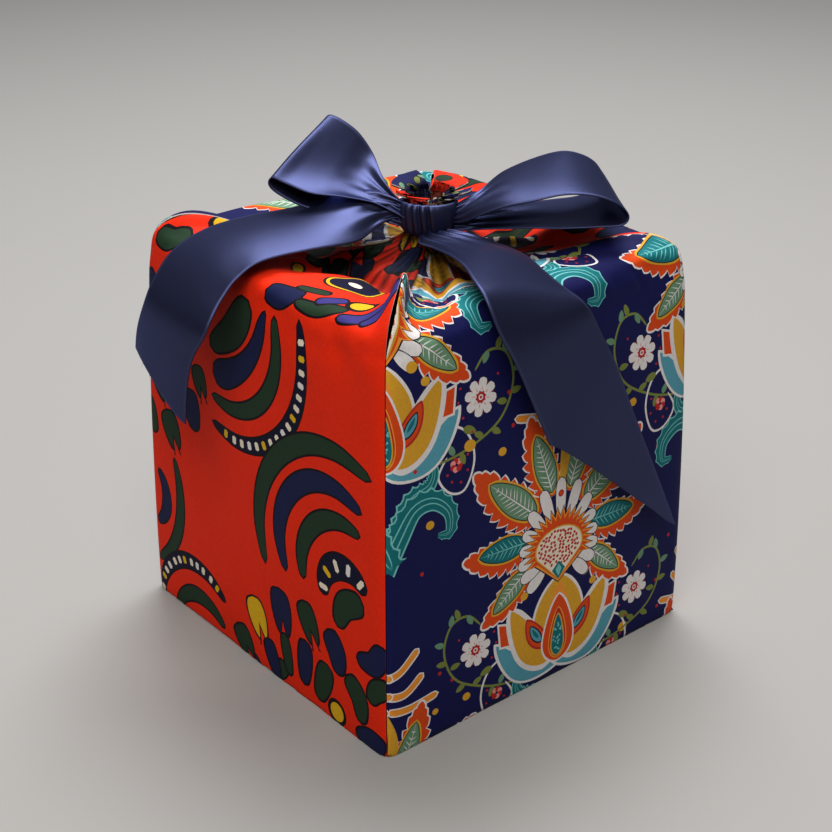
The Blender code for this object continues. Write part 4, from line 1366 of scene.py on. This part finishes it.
# Materials.
COTTON_THREAD = 0.00036  # one warp or weft thread
SATIN_THREAD = 0.00044
SELVEDGE = 0.0011  # width of the ribbon's edges
SATIN_DARK, SATIN_LIGHT = (0.023, 0.027, 0.065, 1), (0.034, 0.039, 0.091, 1)
SATIN_EDGE = (0.056, 0.064, 0.145, 1)
SATIN_SHINE = (0.52, 0.57, 0.98, 1)
FLOATS_PER_METRE = (5200.0, 260.0, 1.0)  # across and along the ribbon


def fill_inputs(tree, made, inputs):
    """Links or sets a node's inputs."""
    for key, value in inputs.items():
        if isinstance(value, bpy.types.NodeSocket):
            tree.links.new(value, made.inputs[key])
        else:
            made.inputs[key].default_value = value


def node(tree, kind, inputs, **settings):
    made = tree.nodes.new(kind)
    for key, value in settings.items():
        setattr(made, key, value)
    fill_inputs(tree, made, inputs)
    return made


def maths(tree, operation, *values):
    return node(tree, "ShaderNodeMath", dict(enumerate(values)), operation=operation).outputs[0]


def noise(tree, vector, scale, detail=2.0):
    return node(tree, "ShaderNodeTexNoise", {"Vector": vector, "Scale": scale, "Detail": detail}).outputs[0]


def mixed(tree, share, first, second):
    """A colour between two, at a share of the way."""
    return node(tree, "ShaderNodeMix", {0: share, 6: first, 7: second}, data_type="RGBA").outputs[2]


def new_material(name):
    made = bpy.data.materials.new(name)
    made.use_nodes = True
    return made, made.node_tree, made.node_tree.nodes["Principled BSDF"]


def threads(tree, flat, pitch, direction):
    """Rows of rounded threads along one direction of the flat cloth, 0 between them to 1 on them."""
    parts = node(tree, "ShaderNodeSeparateXYZ", {0: flat})
    turns = maths(tree, "MULTIPLY", parts.outputs[direction], 2 * np.pi / pitch)
    return maths(tree, "MULTIPLY_ADD", maths(tree, "SINE", turns), 0.5, 0.5)


def cotton(name):
    """Printed plain-weave cotton: the print and its painted shade from the sheet's own colours, its threads
    and a soft nap.
    """
    made, tree, shader = new_material(name)
    colour = node(tree, "ShaderNodeVertexColor", {}, layer_name="print").outputs[0]
    flat = node(tree, "ShaderNodeUVMap", {}, uv_map="cloth").outputs[0]
    warp, weft = (threads(tree, flat, COTTON_THREAD, direction) for direction in (0, 1))
    weave = maths(tree, "MULTIPLY", warp, weft)
    place = node(tree, "ShaderNodeTexCoord", {}).outputs["Object"]
    mottle = noise(tree, place, 900.0, 3.0)
    cloud = noise(tree, place, 28.0)
    tone = maths(tree, "MULTIPLY_ADD", weave, 0.22, 0.84)
    tone = maths(tree, "MULTIPLY", tone, maths(tree, "MULTIPLY_ADD", mottle, 0.30, 0.85))
    tone = maths(tree, "MULTIPLY", tone, maths(tree, "MULTIPLY_ADD", cloud, 0.16, 0.92))
    height = maths(tree, "ADD", maths(tree, "MULTIPLY", weave, 0.6), maths(tree, "MULTIPLY", mottle, 0.5))
    bump = node(tree, "ShaderNodeBump", {"Height": height, "Strength": 0.35, "Distance": 0.00012})
    toned = node(tree, "ShaderNodeVectorMath", {0: colour, "Scale": tone}, operation="SCALE")
    fill_inputs(tree, shader, {
        "Base Color": toned.outputs[0],
        "Roughness": maths(tree, "MULTIPLY_ADD", weave, -0.10, 0.72),
        "Normal": bump.outputs[0],
        "Specular IOR Level": 0.10,
    })
    return made


def satin(name):
    """Navy satin: long floats across a fine weave, with a blue-violet shine and a tighter selvedge."""
    made, tree, shader = new_material(name)
    flat = node(tree, "ShaderNodeUVMap", {}, uv_map="cloth").outputs[0]
    across = node(tree, "ShaderNodeSeparateXYZ", {0: flat}).outputs[0]
    off_middle = maths(tree, "ABSOLUTE", maths(tree, "SUBTRACT", across, RIBBON_WIDTH / 2))
    selvedge = maths(tree, "GREATER_THAN", off_middle, RIBBON_WIDTH / 2 - SELVEDGE)
    stretched = node(tree, "ShaderNodeVectorMath", {0: flat, 1: FLOATS_PER_METRE}, operation="MULTIPLY")
    floats = noise(tree, stretched.outputs[0], 1.0)
    ribs = threads(tree, flat, SATIN_THREAD, 1)
    colour = mixed(tree, floats, SATIN_DARK, SATIN_LIGHT)
    rough = maths(tree, "MULTIPLY_ADD", floats, 0.10, 0.31)
    height = maths(tree, "ADD", maths(tree, "MULTIPLY", floats, 0.6), maths(tree, "MULTIPLY", ribs, 0.4))
    bump = node(tree, "ShaderNodeBump", {"Height": height, "Strength": 0.30, "Distance": 0.00006})
    fill_inputs(tree, shader, {
        "Base Color": mixed(tree, maths(tree, "MULTIPLY", selvedge, 0.5), colour, SATIN_EDGE),
        "Roughness": maths(tree, "MULTIPLY_ADD", selvedge, 0.14, rough),
        "Normal": bump.outputs[0],
        "Metallic": 0.75,
        "Specular IOR Level": 0.36,
        "Specular Tint": SATIN_SHINE,
    })
    return made


def plain(name, colour, roughness):
    """A matt studio surface with a faint mottle."""
    made, tree, shader = new_material(name)
    mottle = noise(tree, node(tree, "ShaderNodeTexCoord", {}).outputs["Object"], 3.0)
    dark, light = ((*(np.array(colour) * share), 1) for share in (0.985, 1.015))
    fill_inputs(tree, shader, {
        "Base Color": mixed(tree, mottle, dark, light),
        "Roughness": roughness,
        "Specular IOR Level": 0.2,
    })
    return made


# The pieces.
def wear(piece, material, node_name):
    piece.data.materials.append(material)
    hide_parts(node_name)
    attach(piece, "root")


def make_cloth():
    red_motif, red_cotton = red_print(), cotton("red_print_cotton")
    for name, panel, origin in (("red_panel_front", FRONT, (0, 0)), ("red_panel_rear", REAR, (-62, -70))):
        shape = PanelShape(panel)
        shapes = repeated(red_motif, origin, RED_REPEAT, shape)
        shapes += tuft_print("vermilion", RED_TUFT, ((shape.top, -1),))
        piece = printed_sheet(name + "_cloth", shape, "vermilion", "red_reverse", shapes)
        wear(piece, red_cotton, name)
    shape = StripShape()
    shapes = repeated(navy_motif(), PALMETTE_AT, NAVY_REPEAT, shape, half_drop=True)
    shapes += tuft_print("navy", NAVY_TUFT, ((shape.top, -1), (shape.bottom, 1)))
    piece = printed_sheet("navy_strip_cloth", shape, "navy", "navy_reverse", shapes)
    wear(piece, cotton("navy_print_cotton"), "navy_strip")


def make_ribbon():
    points, faces, flat, length = neck_turn()
    stretches = (
        ribbon_strip(RIGHT_LOOP, BOW_TURN, pleated_ends=2),
        ribbon_strip(LEFT_LOOP, BOW_TURN, pleated_ends=2),
        ribbon_strip(LEFT_TAIL, skew=LEFT_TAIL_SKEW),
        ribbon_strip(RIGHT_TAIL, skew=RIGHT_TAIL_SKEW),
        loose_threads(LEFT_TAIL, LEFT_TAIL_SKEW),
        loose_threads(RIGHT_TAIL, RIGHT_TAIL_SKEW),
    )
    for more_points, more_faces, more_flat, run in stretches:
        first = len(points)
        faces += [[corner + first for corner in face] for face in more_faces]
        points = np.vstack((points, more_points))
        flat = np.vstack((flat, more_flat))
        length += run
    piece = shown_mesh("ribbon_bow_satin", points, faces, flat)
    wear(piece, satin("navy_satin"), "ribbon_bow")


# Studio. Azimuths and elevations, in degrees, are those of a view: 0 looks at the front, 90 at the right.
FLOOR_HALF = 6.0
FLOOR_COLOUR, FLOOR_ROUGHNESS = (0.330, 0.320, 0.306), 0.9
LENS, SENSOR = 70.0, 36.0  # mm
CAMERA_WAY, CAMERA_DISTANCE = (50.1, 26.25), 0.638  # azimuth and elevation, fitted to the photo
AIM_SIDEWAYS, AIM_HEIGHT = 0.0009, 0.0842
LIGHTS = table("name azimuth elevation distance size watts colour", (  # square soft boxes
    ("top_box", 224, 67, 1.35, 0.75, 25.0, (0.97, 0.98, 1.0)),
    ("front_top_box", 42, 57, 1.6, 0.9, 18.0, (1.0, 0.98, 0.96)),
))
LIGHTS_AIM = Vector((0, 0, 0.08))
ROOM_COLOUR, ROOM_STRENGTH = (0.84, 0.83, 0.82, 1), 0.17


def view_way(azimuth, elevation):
    """The direction from the wrap to a camera or light."""
    azimuth, elevation = radians(azimuth), radians(elevation)
    level = np.cos(elevation)
    return Vector((np.sin(azimuth) * level, -np.cos(azimuth) * level, np.sin(elevation)))


def aimed(name, data, aim, way, distance):
    """An object that looks at a point from a distance."""
    made = bpy.data.objects.new(name, data)
    made.location = aim + way * distance
    made.rotation_euler = way.to_track_quat("Z", "Y").to_euler()
    bpy.context.scene.collection.objects.link(made)
    return made


def make_stage():
    corners = [(x * FLOOR_HALF, y * FLOOR_HALF, 0) for x, y in ((-1, -1), (1, -1), (1, 1), (-1, 1))]
    floor = shown_mesh("studio_floor", corners, [(0, 1, 2, 3)])
    floor.data.materials.append(plain("studio_floor", FLOOR_COLOUR, FLOOR_ROUGHNESS))


def make_camera():
    sideways = view_way(CAMERA_WAY[0] + 90, 0)
    aim = sideways * AIM_SIDEWAYS + Vector((0, 0, AIM_HEIGHT))
    lens = bpy.data.cameras.new("camera")
    lens.lens, lens.sensor_width = LENS, SENSOR
    bpy.context.scene.camera = aimed("camera", lens, aim, view_way(*CAMERA_WAY), CAMERA_DISTANCE)


def make_lights():
    for row in LIGHTS:
        light = bpy.data.lights.new(row.name, "AREA")
        light.shape, light.size, light.energy, light.color = "SQUARE", row.size, row.watts, row.colour
        aimed(row.name, light, LIGHTS_AIM, view_way(row.azimuth, row.elevation), row.distance)
    world = bpy.data.worlds.new("studio")
    world.use_nodes = True
    background = world.node_tree.nodes["Background"]
    fill_inputs(world.node_tree, background, {"Color": ROOM_COLOUR, "Strength": ROOM_STRENGTH})
    bpy.context.scene.world = world


make_cloth()
make_ribbon()
make_stage()
make_camera()
make_lights()
bpy.context.scene.view_settings.view_transform = "Standard"
